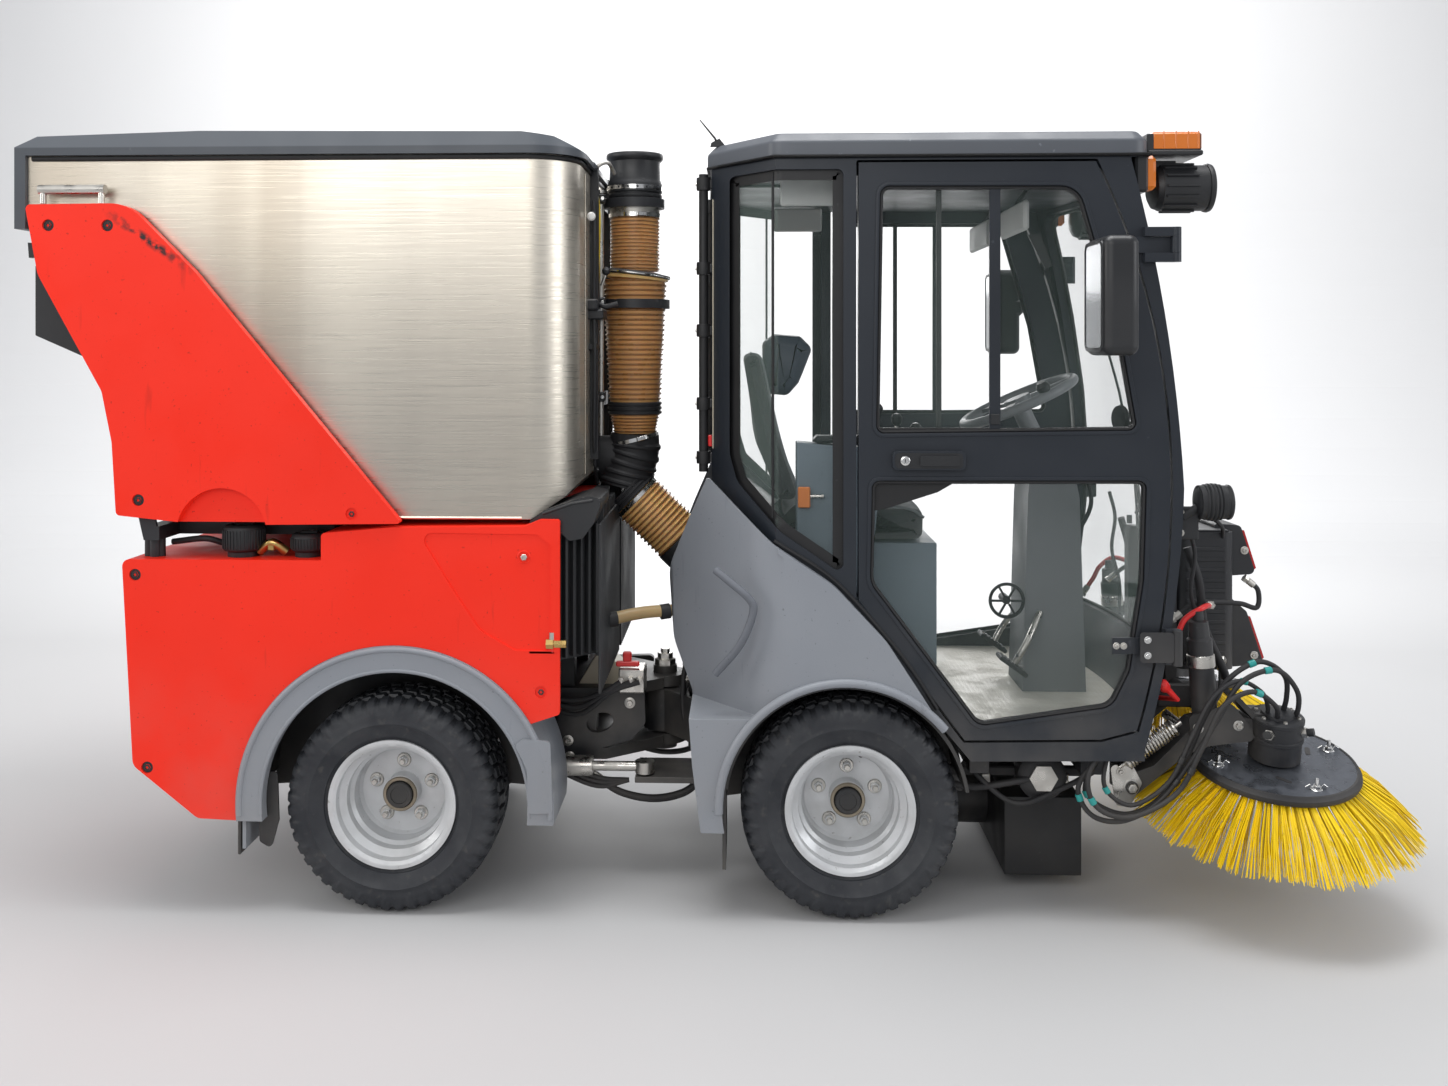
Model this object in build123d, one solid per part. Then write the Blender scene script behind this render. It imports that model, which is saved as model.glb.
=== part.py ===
"""Compact articulated suction sweeper, in millimetres.

+X is forward, +Y is the vehicle's left side and +Z is up. The origin lies on the ground
below the middle of the box round the whole vehicle. A pair of like pieces is drawn on the
left side and mirrored to the right.
"""

from build123d import *
import os
from math import hypot

# Widths, each from the middle plane to the outside
body_half = 535
wing_outer = body_half + 11
wing_inner = wing_outer - 26
hopper_half = wing_inner - 15
cab_half = body_half - 35
cab_rear_half = cab_half - 200
radiator_half = body_half - 30

# Running gear
rear_axle_x = -811
front_axle_x = 342
wheel_radius = 273
tyre_width = 210
tread_depth = 7
tread_lugs = 14
rib_half = 27
lug_inner_y = 38
lug_outer_y = 82
lug_width = 70
lug_height = 16
shoulder_y = 86
rim_radius = 163
rim_half_width = 88
track_half = body_half - 120
wheel_centre_z = wheel_radius
disc_offset = -42
disc_thickness = 12
hub_radius = 46
nut_circle = 76
nut_radius = 12
nut_count = 5
nut_height = 16
hub_height = 40
wheel_gap = 0.3
axle_half = 40

# Farther out than any part, for cuts that go right through
reach = 2500

# Towing eye behind the rear frame
tow_x = -1490
tow_z = 420
tow_radius = 12.5

# Articulation joint between the rear and the front body
pivot_x = -150
pivot_pin_radius = 34
knuckle_radius = 62
knuckle_gap = 6
fork_low_z = 330
fork_high_z = 464
fork_plate = 30
rear_frame_z = 370
front_frame_z = 336
ram_y = 250
ram_z = 298
ram_eye_half = 15
ram_eye_x = -190
ram_eye_radius = 26

# Rear covers
cover_wall = 14
dimple_radius = 15
dimple_depth = 5
bolt_radius = 8
recess_depth = 4
cover_rear_x = -1489
cover_front_x = -380
cover_ledge_z = 894
cover_step_x = -981
cover_step_z = 962
cover_top_z = 999
cover_bottom_z = 240
rear_arch_x = -795
rear_arch_z = 281
rear_arch_radius = 402
fender_outer_radius = rear_arch_radius - 0.3
fender_inner_radius = 336
fender_skin = 10
fender_inner_y = 300

# Hopper, its tipping hinge and its lid
hopper_wall = 6
hopper_top_z = 1916
hopper_bottom_z = 995
hopper_front_x = -347
hopper_rear_x = -1747
hopper_corner = 130
tip_hinge_x = -1500
tip_hinge_z = 1310
tip_pin_radius = 14
lid_rear_x = -1776
lid_front_x = -330
lid_top_z = hopper_top_z + 59
lid_skirt = 60
lid_wall = 8
lid_half = hopper_half + 13
lid_hinge_x = -334
lid_hinge_z = hopper_top_z + 9
lid_ear_y = 164
lid_ear_half = 14
lid_ear_radius = 9
lid_pin_radius = 5

# Suction line
tube_x = -238
tube_radius = 76
cap_radius = 80
cap_low_z = 1857
clamp_height = 26
elbow_radius = 88
tube_wall = 6
inlet_z = 1112
inlet_radius = 66
tube_top_z = 1987
flange_z = 1642
tube_bottom_z = 1180
hose_radius = 79
hose_start = (-262, 0, 1025)
hose_end = (-112, 0, 880)
hose_gap = 8

# Cab
cab_wall = 36
cab_rear_x = -8
cab_fold_x = 157
cab_top_z = 1900
cab_floor_z = 470
bulge_axis_x = -600
door_rear_x = 363
door_thickness = 36
door_seam = 6
glass_thickness = 5
glass_gap = 0.4
door_hinge_x = 1138
door_hinge_y = cab_half + 14
door_hinge_radius = 12
door_pin_radius = 5
door_hinge_heights = (692, 1680)
door_strap_rears = (1110, 1060)
hinge_leaf_half = 20
hinge_half = 43
roof_front_x = 1080
roof_top_z = 1965
seat_gap = 0.3

# Front wheel arch
front_arch_x = 330
front_arch_z = 285
front_arch_radius = 307
liner_radius = 306
liner_skin = 9

# Brushes
brush_x = 1418
brush_y = 400
brush_z = 378
brush_disc_radius = 195
brush_tip_radius = 358
brush_tilt = 11
bristle_root_radius = 150
arm_pin_x = 1053
arm_pin_z = 320
arm_inner_y = brush_y - 61
arm_outer_y = brush_y + 27
arm_pin_radius = 16

SIDES = (("right", -1), ("left", 1))


# Drawing helpers


def face(points, radius=0):
    """A flat outline through corner points, rounded by one radius or by one per corner."""
    if radius == 0:
        return make_face(Polyline(*points, close=True))
    return make_face(FilletPolyline(*points, radius=radius, close=True))


def across(outline, y_low, y_high):
    """An outline drawn in X and Z, carried from y_low to y_high."""
    return extrude(Plane.XZ.offset(-y_high) * outline, y_high - y_low)


def upward(outline, z_low, z_high):
    """An outline drawn in X and Y, carried from z_low to z_high."""
    return extrude(Plane.XY.offset(z_low) * outline, z_high - z_low)


def block(x_low, x_high, y_low, y_high, z_low, z_high):
    size = (x_high - x_low, y_high - y_low, z_high - z_low)
    middle = ((x_low + x_high) / 2, (y_low + y_high) / 2, (z_low + z_high) / 2)
    return Pos(*middle) * Box(*size)


def rod(start, end, radius):
    """A round bar between two points."""
    run = Vector(*end) - Vector(*start)
    return extrude(Plane(origin=start, z_dir=run) * Circle(radius), run.length)


def tube(start, end, radius, wall):
    run = Vector(*end) - Vector(*start)
    ring = Circle(radius) - Circle(radius - wall)
    return extrude(Plane(origin=start, z_dir=run) * ring, run.length)


def pair(shape):
    """The piece and its mirror image on the other side."""
    return [shape, mirror(shape, about=Plane.XZ)]


def on_side(shape, sign):
    return shape if sign > 0 else mirror(shape, about=Plane.XZ)


def write(name, *shapes):
    solids = [solid for shape in shapes for solid in shape.solids()]
    export_step(Compound(children=solids), f"parts/{name}.step")


# Wheels


def tyre():
    """Left tyre about its own centre: a carcass with a middle rib, and a row of lugs beside it."""
    half = tyre_width / 2
    seat = rim_half_width - 8 - wheel_gap
    bead = rim_radius - 13 + wheel_gap
    low = wheel_radius - tread_depth
    carcass = face(
        [
            (-seat, bead),
            (-seat, rim_radius + 4),
            (-half, rim_radius + 34),
            (-half, wheel_radius - 36),
            (-shoulder_y, low),
            (-rib_half, low),
            (-rib_half, wheel_radius),
            (rib_half, wheel_radius),
            (rib_half, low),
            (shoulder_y, low),
            (half, wheel_radius - 36),
            (half, rim_radius + 34),
            (seat, rim_radius + 4),
            (seat, bead),
        ]
    )
    lug_top = (wheel_radius**2 - (lug_width / 2) ** 2) ** 0.5
    lug_y = (lug_inner_y + lug_outer_y) / 2
    lugs = []
    for count in range(tread_lugs):
        for side in (-1, 1):
            turn = 360 * (count + side / 4) / tread_lugs
            lug = Pos(0, side * lug_y, lug_top - lug_height / 2)
            lugs.append(Rot(0, turn, 0) * lug * Box(lug_width, lug_outer_y - lug_inner_y, lug_height))
    return revolve(Plane.YZ * carcass, Axis.Y) + lugs


def rim():
    """Left rim: stepped barrel, two flanges, a deep set disc with its hub and wheel nuts."""
    half = rim_half_width
    low = disc_offset - disc_thickness / 2
    high = disc_offset + disc_thickness / 2
    barrel = face(
        [
            (-half, rim_radius - 14),
            (-half, rim_radius),
            (-half + 8, rim_radius),
            (-half + 8, rim_radius - 13),
            (half - 8, rim_radius - 13),
            (half - 8, rim_radius),
            (half, rim_radius),
            (half, rim_radius - 6),
            (half - 8, rim_radius - 18),
            (half - 32, rim_radius - 19),
            (half - 44, rim_radius - 35),
            (half - 68, rim_radius - 36),
            (half - 76, rim_radius - 45),
            (high + 8, rim_radius - 46),
            (high, rim_radius - 54),
            (high, 0),
            (low, 0),
            (low, rim_radius - 30),
            (low - 8, rim_radius - 24),
        ]
    )
    body = revolve(Plane.YZ * barrel, Axis.Y)
    body += across(Circle(hub_radius), high - 1, high + hub_height)
    for spot in PolarLocations(nut_circle, nut_count, start_angle=90):
        body += across(spot * RegularPolygon(nut_radius, 6), high - 1, high + nut_height)
    return body


def make_wheels():
    for end, x in (("rear", rear_axle_x), ("front", front_axle_x)):
        for side, sign in SIDES:
            place = Pos(x, track_half, wheel_centre_z)
            write(f"{end}_tyre_{side}", on_side(place * tyre(), sign))
            write(f"{end}_rim_{side}", on_side(place * rim(), sign))


def axle(x, frame_y, frame_z):
    """Axle beam below the frame's side members, with a hub motor behind each wheel disc."""
    disc_back = track_half + disc_offset - disc_thickness / 2 - wheel_gap
    beam = block(x - 45, x + 45, -250, 250, wheel_centre_z - axle_half, wheel_centre_z + axle_half)
    for sign in (-1, 1):
        z = wheel_centre_z
        low, high = sorted((sign * (frame_y - 25), sign * (frame_y + 25)))
        beam += block(x - 40, x + 40, low, high, z, frame_z - seat_gap)
        beam += rod((x, sign * 240, z), (x, sign * disc_back, z), 95)
    return beam


# Rear body


def make_rear_frame():
    """Two side members, cross members, and the forked nose that holds the pivot pin."""
    frame = block(-1430, -330, 120, 180, rear_frame_z, 470)
    frame += block(-1430, -330, -180, -120, rear_frame_z, 470)
    for x in (-1400, -1090, -640, -400):
        frame += block(x - 30, x + 30, -125, 125, 385, 455)
    nose = face(
        [(-440, -200), (-300, -200), (pivot_x, -80), (pivot_x, 80), (-300, 200), (-440, 200)]
    )
    boss = Pos(pivot_x, 0) * Circle(knuckle_radius)
    cheek = face(
        [(-441, 281), (-372, 287), (-314, 330), (-229, 355), (-192, 400), (-196, 498), (-300, 494), (-432, 445)],
        radius=(12, 20, 30, 20, 20, 14, 8, 20),
    )
    cheek -= Pos(-317, 400) * Rot(0, 0, 20) * Ellipse(38, 26)
    for z_low, z_high in ((fork_low_z - fork_plate, fork_low_z), (fork_high_z, fork_high_z + fork_plate)):
        frame += upward(nose + boss, z_low, z_high)
    for sign in (-1, 1):
        low, high = sorted((sign * 178, sign * 200))
        frame += across(cheek, low, high)
        low, high = sorted((sign * 170, sign * 300))
        frame += block(-700, -600, low, high, ram_z + 30, ram_z + 50)
        low, high = sorted((sign * 150, sign * 180))
        frame += block(-700, -600, low, high, ram_z + 30, rear_frame_z + 5)
        low, high = sorted((sign * 170, sign * (body_half - cover_wall - seat_gap)))
        frame += block(-1430, -1370, low, high, 400, 450)
    pin = upward(Pos(pivot_x, 0) * Circle(pivot_pin_radius), fork_low_z - 50, fork_high_z + 50)
    lug = block(-1520, -1425, -45, -25, 380, 460) + block(-1520, -1425, 25, 45, 380, 460)
    frame += lug - rod((tow_x, -60, tow_z), (tow_x, 60, tow_z), tow_radius)
    write("rear_frame", frame + pin)


def cover_outline():
    """Side view of the lower red body: stepped top, cut rear corner, wheel arch."""
    outline = face(
        [
            (cover_rear_x, cover_ledge_z),
            (cover_step_x, cover_ledge_z),
            (cover_step_x, cover_step_z),
            (cover_step_x + 180, cover_step_z + 16),
            (-470, 982),
            (-430, cover_top_z),
            (cover_front_x, cover_top_z),
            (cover_front_x, 515),
            (-1194, cover_bottom_z),
            (-1295, cover_bottom_z + 4),
            (-1461, 375),
        ],
        radius=(18, 0, 10, 60, 15, 15, 8, 8, 8, 30, 30),
    )
    return outline - Pos(rear_arch_x, rear_arch_z) * Circle(rear_arch_radius)


def make_rear_covers():
    """Each half is a thin shell with a side, a rear and a top wall, open below and in front."""
    outline = cover_outline()
    shell = across(outline, 0.2, body_half)
    inner = offset(outline, -cover_wall)
    shell -= across(inner, -1, body_half - cover_wall)
    shell -= block(cover_front_x - 30, cover_front_x + 5, -1, body_half - cover_wall, 400, 985)
    shell -= block(cover_front_x - 80, cover_front_x + 5, -1, body_half - cover_wall, 400, 560)
    arch = Pos(rear_arch_x, rear_arch_z) * Circle(rear_arch_radius + cover_wall + 2)
    shell -= across(arch, -1, body_half - cover_wall)
    low = face([(-1185, 200), (-1470, 200), (-1440, 400), (-1185, 400)])
    shell -= across(low, -1, body_half - cover_wall)
    shell -= block(-1530, -1400, -1, 55, 370, 470)
    recess = face(
        [(-736, 965), (-436, 962), (-402, 935), (-402, 674), (-492, 673), (-580, 722), (-655, 834)],
        radius=(20, 10, 14, 10, 30, 60, 60),
    )
    shell -= across(recess, body_half - recess_depth, body_half + 5)
    shell = bolted(shell, ((-1455, 855), (-1424, 370), (-427, 570)), body_half)
    write("rear_covers", *pair(shell))


def bolted(skin, spots, outer_y):
    """The skin with a round dimple and a hexagon bolt head at each spot."""
    for x, z in spots:
        dimple = Circle(dimple_radius) - RegularPolygon(bolt_radius, 6)
        skin -= across(Pos(x, z) * dimple, outer_y - dimple_depth, outer_y + 1)
        skin -= across(Pos(x, z) * Circle(dimple_radius), outer_y - 1, outer_y + 1)
    return skin


def make_rear_fenders():
    """A rounded band over each wheel, with its inner skin and a mudflap behind the tyre."""
    centre = Pos(rear_arch_x, rear_arch_z)
    ring = centre * (Circle(fender_outer_radius) - Circle(fender_inner_radius))
    keep = face([(-1300, 240), (-300, 240), (-300, 900), (-1300, 900)])
    band = across(ring & keep, body_half - 32, body_half + 5)
    skin = centre * (Circle(fender_outer_radius) - Circle(fender_outer_radius - fender_skin))
    band += across(skin & keep, fender_inner_y, body_half - 31)
    flap_x = rear_arch_x - fender_outer_radius + 12
    band += block(flap_x, flap_x + 9, fender_inner_y + 20, body_half - 12, 165, 262)
    write("rear_fenders", *pair(band))


def make_wings():
    """Moulded side covers beside the hopper, with a rounded nose and a small arch below."""
    outline = face(
        [
            (-1733, 1788),
            (-1470, 1790),
            (-1300, 1620),
            (-773, 988),
            (-1120, 984),
            (-1136, 988),
            (-1324, 988),
            (-1499, 1006),
            (-1510, 1190),
            (-1536, 1318),
            (-1583, 1402),
            (-1700, 1612),
        ],
        radius=(12, 110, 260, 6, 0, 0, 0, 12, 60, 40, 40, 80),
    )
    arch = Pos(-1230, 960) * Circle(115)
    skin = across(outline - arch, wing_inner, wing_outer)
    skin = bolted(skin, ((-1673, 1735), (-1521, 1734), (-1442, 1044), (-900, 1012)), wing_outer)
    write("wings", *pair(skin))


def make_radiator():
    """Radiator housing behind the joint: slanted corners with a row of upright fins."""
    front_half = radiator_half - 95
    plan = face(
        [
            (-470, -radiator_half),
            (-400, -radiator_half),
            (-300, -front_half),
            (-300, front_half),
            (-400, radiator_half),
            (-470, radiator_half),
        ]
    )
    core = upward(plan, 640, 964) + block(-338, -300, 5 - front_half, front_half - 5, 960, 1040)
    fins = []
    for count in range(6):
        share = (count + 0.5) / 6
        fins.append(Pos(-402 + 104 * share, radiator_half + 7 - 98 * share, 812) * Rot(0, 0, -43) * Box(8, 26, 330))
    for y in range(0, round(front_half) - 9, 36):
        fins.append(Pos(-295, y, 825) * Box(20, 8, 390))
    for fin in fins:
        core += fin
        if fin.position.Y:
            core += mirror(fin, about=Plane.XZ)
    way = (Vector(*hose_end) - Vector(*hose_start)).normalized()
    room = rod(tuple(Vector(*hose_start) - way * 200), hose_end, hose_radius + 30)
    for low, high in ((-180, -130), (130, 180)):
        core += block(-430, -390, low, high, fork_high_z + fork_plate + seat_gap, 645)
    write("radiator_grille", core - room)


def make_cradle():
    """Black carrier below the hopper, with the arms that hold its tipping hinge."""
    cradle = block(-1440, -990, -400, 400, 940, 975) - block(-1400, -1020, -330, 330, 930, 990)
    cradle += block(-1440, -1400, -hopper_half, hopper_half, 940, 975)
    for sign in (-1, 1):
        for x in (-1425, -1010):
            y = hopper_half - 20 if x < -1400 else 365
            cradle += upward(Pos(x, sign * y) * Circle(14), cover_ledge_z + seat_gap, 945)
        low, high = sorted((sign * 340, sign * 390))
        cradle += block(-1430, -1000, low, high, 974, hopper_bottom_z - seat_gap)
        low, high = sorted((sign * (hopper_half + 6), sign * (wing_inner - seat_gap)))
        arm = face([(-1530, 1330), (-1520, 1345), (-1480, 1345), (-1400, 940), (-1440, 940)])
        post = across(arm, low, high)
        post -= rod((tip_hinge_x, -reach, tip_hinge_z), (tip_hinge_x, reach, tip_hinge_z), tip_pin_radius + 0.1)
        low, high = sorted((sign * (hopper_half - 5), sign * (wing_inner - seat_gap)))
        cradle += post + block(-1440, -1400, low, high, 940, 975)
    write("tank_cradle", cradle)


def make_filler_caps():
    """Knurled screw caps on the ledge of the lower cover."""
    caps = []
    for x, radius, height in ((-1205, 50, 78), (-1035, 44, 58)):
        plan = RegularPolygon(radius, 18)
        cap = upward(Pos(x, body_half - 75) * plan, cover_ledge_z + 0.3, cover_ledge_z + height)
        caps += pair(cap)
    write("filler_caps", *caps)


def make_steering_cylinders():
    """Two rams beside the joint. Each rod ends in an eye just above the front body's lug."""
    y, z, eye = ram_y, ram_z, Circle(ram_eye_radius)
    ram = rod((ram_eye_x - 450, y, z), (ram_eye_x - 140, y, z), 27)
    ram += rod((ram_eye_x - 141, y, z), (ram_eye_x - 10, y, z), 13)
    ram += upward(Pos(ram_eye_x, y) * eye, z - ram_eye_half, z + ram_eye_half)
    ram += upward(Pos(ram_eye_x - 465, y) * eye, z - 22, z + 30 - seat_gap)
    write("steering_cylinders", *pair(ram))


def make_engine():
    write("engine_block", block(-1360, -900, -200, 200, 470 + seat_gap, 850))


def make_rear_lamps():
    lamps = []
    behind = across(offset(cover_outline(), seat_gap), 0, reach)
    for z_low in (640, 720):
        lamps += pair(block(-1500, -1465, body_half - 155, body_half - 55, z_low, z_low + 64) - behind)
    write("rear_lamps", *lamps)


# Hopper


def hopper_outline(inset=0):
    points = [
        (hopper_rear_x, hopper_top_z),
        (hopper_front_x, hopper_top_z),
        (hopper_front_x, 1080),
        (-374, 1050),
        (-457, hopper_bottom_z),
        (-1440, hopper_bottom_z),
        (-1478, 1190),
        (-1500, 1310),
        (-1690, 1640),
        (hopper_rear_x, 1760),
    ]
    outline = face(points)
    return offset(outline, -inset, kind=Kind.INTERSECTION) if inset else outline


def hopper_plan(inset=0):
    half = hopper_half - inset
    points = [(-reach, -half), (hopper_front_x - inset, -half)]
    points += [(hopper_front_x - inset, half), (-reach, half)]
    corner = hopper_corner - inset
    return face(points, radius=(0, corner, corner, 0))


def make_hopper():
    """Sheet steel tank, open at the top below the lid, with rounded front corners."""
    outer = across(hopper_outline(), -hopper_half, hopper_half)
    outer &= upward(hopper_plan(), 0, reach)
    inner = across(hopper_outline(hopper_wall), -hopper_half, hopper_half)
    inner &= upward(hopper_plan(hopper_wall), 0, reach)
    shell = outer - inner
    top = upward(hopper_plan(hopper_wall), hopper_top_z - 36, reach)
    shell -= top & block(hopper_rear_x + hopper_wall, 0, -reach, reach, 0, reach)
    shell -= rod((hopper_front_x - 30, 0, inlet_z), (hopper_front_x + 10, 0, inlet_z), inlet_radius - tube_wall)
    pin = rod((tip_hinge_x, hopper_half - 3, tip_hinge_z), (tip_hinge_x, wing_inner - 1, tip_hinge_z), tip_pin_radius)
    write("hopper_tank", shell + pin + mirror(pin, about=Plane.XZ))


def make_lid():
    """Shallow cover with a folded skirt, a deep lip over the rear outlet and two hinge knuckles."""
    lip_z = lid_top_z - 246

    def outline(inset, floor):
        return face(
            [
                (lid_rear_x + inset, lip_z),
                (lid_rear_x + inset, lid_top_z - 39 - inset / 2),
                (lid_rear_x + 60, lid_top_z - 12 - inset),
                (-1300, lid_top_z - inset),
                (-480, lid_top_z - 6 - inset),
                (lid_front_x - 70, lid_top_z - 16 - inset),
                (lid_front_x - inset, lid_top_z - 46 - inset / 2),
                (lid_front_x - inset, floor),
                (lid_rear_x + 29, floor),
                (lid_rear_x + 29, lip_z),
            ],
        )
    def plan(inset):
        half = lid_half - inset
        front = lid_front_x - inset
        corner = 140 - inset
        return face(
            [(-reach, -half), (front, -half), (front, half), (-reach, half)],
            radius=(0, corner, corner, 0),
        )
    skirt_z = lid_top_z - lid_skirt
    lid = across(outline(0, skirt_z), -lid_half, lid_half) & upward(plan(0), 0, reach)
    cavity = across(outline(lid_wall, skirt_z - 40), -lid_half, lid_half)
    cavity &= upward(plan(lid_wall), 0, reach)
    cavity &= block(lid_rear_x + 29, 0, -reach, reach, lip_z + 71, reach)
    lid -= cavity
    for sign in (-1, 1):
        low, high = sorted((sign * (lid_ear_y - lid_ear_half - 4), sign * (lid_ear_y + lid_ear_half + 4)))
        lid -= block(lid_hinge_x - 20, lid_front_x + 1, low, high, 0, reach)
        knuckle = (lid_ear_y + lid_ear_half + 3, lid_ear_y + lid_ear_half + 45)
        start, end = [(lid_hinge_x, sign * y, lid_hinge_z) for y in knuckle]
        lid += rod(start, end, lid_ear_radius - 0.5)
        lid -= rod((lid_hinge_x, sign * (lid_ear_y - lid_ear_half), lid_hinge_z), end, lid_pin_radius + 0.1)
    write("hopper_lid", lid)


def make_hopper_front():
    """Rails on the tank's front wall with the lid's hinge ears, and the hand tube's clamps."""
    face_x = hopper_front_x + 0.3
    rail_top_z = hopper_top_z - 16
    rails = []
    for sign in (-1, 1):
        low, high = sorted((sign * (lid_ear_y - lid_ear_half), sign * (lid_ear_y + lid_ear_half)))
        rail = block(face_x, face_x + 22, low, high, 1120, rail_top_z)
        ear = Pos(lid_hinge_x, lid_hinge_z) * Circle(lid_ear_radius)
        rail += across(ear, low, high)
        rail += block(lid_hinge_x - 8, lid_hinge_x + 8, low, high, rail_top_z - 10, lid_hinge_z)
        start, end = [(lid_hinge_x, sign * (lid_ear_y + y), lid_hinge_z) for y in (0, lid_ear_half + 42)]
        rails.append(rail + rod(start, end, lid_pin_radius))
    rails = rails[0] + rails[1]
    for z in (1280, 1560, 1850):
        rails += block(face_x, face_x + 16, -lid_ear_y, lid_ear_y, z - 20, z + 20)
    for z, radius in ((1540, 91), (1829, tube_radius)):
        ring = Circle(radius + 10) - Circle(radius + seat_gap)
        arm = Rectangle(tube_x - face_x - radius - 4, 40, align=(Align.MIN, Align.CENTER))
        clamp = (Pos(tube_x, 0) * ring) + Pos(face_x, 0) * arm
        rails += upward(clamp, z, z + clamp_height)
    write("hopper_rails", rails)


def make_hand_tube():
    """Hand suction hose stored upright: a tapered lower half, a flange, and a capped upper half."""
    outline = face(
        [
            (elbow_radius - tube_wall - 2, tube_bottom_z),
            (elbow_radius, tube_bottom_z),
            (elbow_radius, tube_bottom_z + 8),
            (62, tube_bottom_z + 14),
            (75, 1250),
            (94, flange_z - 14),
            (102, flange_z - 10),
            (102, flange_z + 10),
            (tube_radius, flange_z + 12),
            (tube_radius, cap_low_z),
            (cap_radius - 1, cap_low_z + 2),
            (cap_radius - 1, cap_low_z + 42),
            (cap_radius - 7, cap_low_z + 56),
            (cap_radius - 7, cap_low_z + 92),
            (cap_radius + 2, cap_low_z + 110),
            (cap_radius + 2, tube_top_z - 5),
            (cap_radius - 3, tube_top_z),
            (0, tube_top_z),
            (0, tube_top_z - 8),
            (cap_radius - 12, tube_top_z - 8),
            (tube_radius - tube_wall, cap_low_z + 80),
            (tube_radius - tube_wall, flange_z),
            (69, 1252),
            (55, tube_bottom_z + 12),
        ]
    )
    write("hand_tube", Pos(tube_x, 0) * revolve(Plane.XZ * outline, Axis.Z))


# Front body


def cab_side(inset=0):
    """Side view of the cab, left open towards the front, where the bulged front closes it."""
    outline = face(
        [
            (cab_rear_x, cab_top_z),
            (1500, cab_top_z),
            (1500, 412),
            (640, 400),
            (300, 800),
            (142, 925),
            (cab_rear_x, 1060),
        ]
    )
    return offset(outline, -inset, kind=Kind.INTERSECTION) if inset else outline


def cab_plan(inset=0):
    rear, half = cab_rear_x, cab_half
    points = [(rear, -cab_rear_half), (cab_fold_x, -half), (1500, -half)]
    points += [(1500, half), (cab_fold_x, half), (rear, cab_rear_half)]
    outline = face(points)
    return offset(outline, -inset, kind=Kind.INTERSECTION) if inset else outline


def cab_front(inset=0):
    """Round front of the cab, turned about an upright axis far behind it."""
    def out(x):
        return hypot(x - bulge_axis_x, cab_half) - inset
    top, upper, belt = out(1030), out(1112), out(1162)
    lower, foot = out(1138), out(1066)
    edge = Line((0, 300), (foot, 300)) + Line((foot, 300), (foot, 430))
    edge += ThreePointArc((foot, 430), (lower, 780), (belt, 1080))
    edge += ThreePointArc((belt, 1080), (upper, 1530), (top, cab_top_z + 5))
    edge += Line((top, cab_top_z + 5), (0, cab_top_z + 5)) + Line((0, cab_top_z + 5), (0, 300))
    turned = revolve(Plane.XZ * make_face(edge), Axis.Z)
    return Pos(bulge_axis_x, 0, 0) * turned


def cab_solid(inset=0):
    body = across(cab_side(inset), -cab_half, cab_half)
    body &= upward(cab_plan(inset), 0, reach)
    return body & cab_front(inset)


def door_outline(inset=0):
    """Side view of a door: straight hinge side, cut off lower rear corner."""
    edge = Line((door_rear_x, 1888), (947, 1888))
    edge += ThreePointArc((947, 1888), (1098, 1420), (1126, 974))
    edge += ThreePointArc((1126, 974), (1100, 720), (1047, 482))
    edge += Polyline((1047, 482), (960, 458), (625, 452), (door_rear_x, 800), (door_rear_x, 1888))
    outline = make_face(edge)
    return offset(outline, -inset) if inset else outline


def upper_window():
    return face([(416, 1830), (905, 1828), (1000, 1500), (1049, 1222), (406, 1213)], radius=(25, 60, 150, 20, 20))


def lower_window():
    return face(
        [(396, 1096), (1071, 1099), (1064, 850), (1030, 628), (986, 538), (657, 487), (391, 840)],
        radius=(20, 20, 150, 60, 50, 40, 60),
    )


def quarter_window(inset=0):
    """Rear side window, carried across the folded corner of the cab."""
    outline = face(
        [(40, 1872), (325, 1872), (325, 860), (170, 965), (60, 1080), (40, 1150)],
        radius=(15, 15, 15, 60, 60, 60),
    )
    outline = offset(outline, -inset) if inset else outline
    return across(outline, 200, cab_half + 20)


def windscreen_window(inset=0):
    half = cab_half - 50
    outline = face([(-half, 640), (half, 640), (half - 10, 1850), (10 - half, 1850)], radius=60)
    outline = offset(outline, -inset) if inset else outline
    return extrude(Plane.YZ.offset(920) * outline, 500)


def rear_window(inset=0):
    half = cab_rear_half - 50
    outline = face([(-half, 1130), (half, 1130), (half, 1860), (-half, 1860)], radius=30)
    outline = offset(outline, -inset) if inset else outline
    return extrude(Plane.YZ.offset(-60) * outline, 150)


def make_cab():
    """Hollow cab with window and door openings cut through, and its bonded panes."""
    shell = cab_solid() - cab_solid(cab_wall)
    doorway = across(door_outline(-door_seam), cab_half - cab_wall - 30, cab_half + 20)
    for opening in (doorway, quarter_window()):
        shell -= opening
        shell -= mirror(opening, about=Plane.XZ)
    shell -= windscreen_window()
    shell -= rear_window()
    write("cab_frame", shell)

    layer = cab_solid(12) - cab_solid(12 + glass_thickness)
    panes = []
    for cut in (windscreen_window(glass_gap), rear_window(glass_gap)):
        panes.append(layer & cut)
    panes += pair(layer & quarter_window(glass_gap))
    write("cab_glass", *panes)


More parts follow.
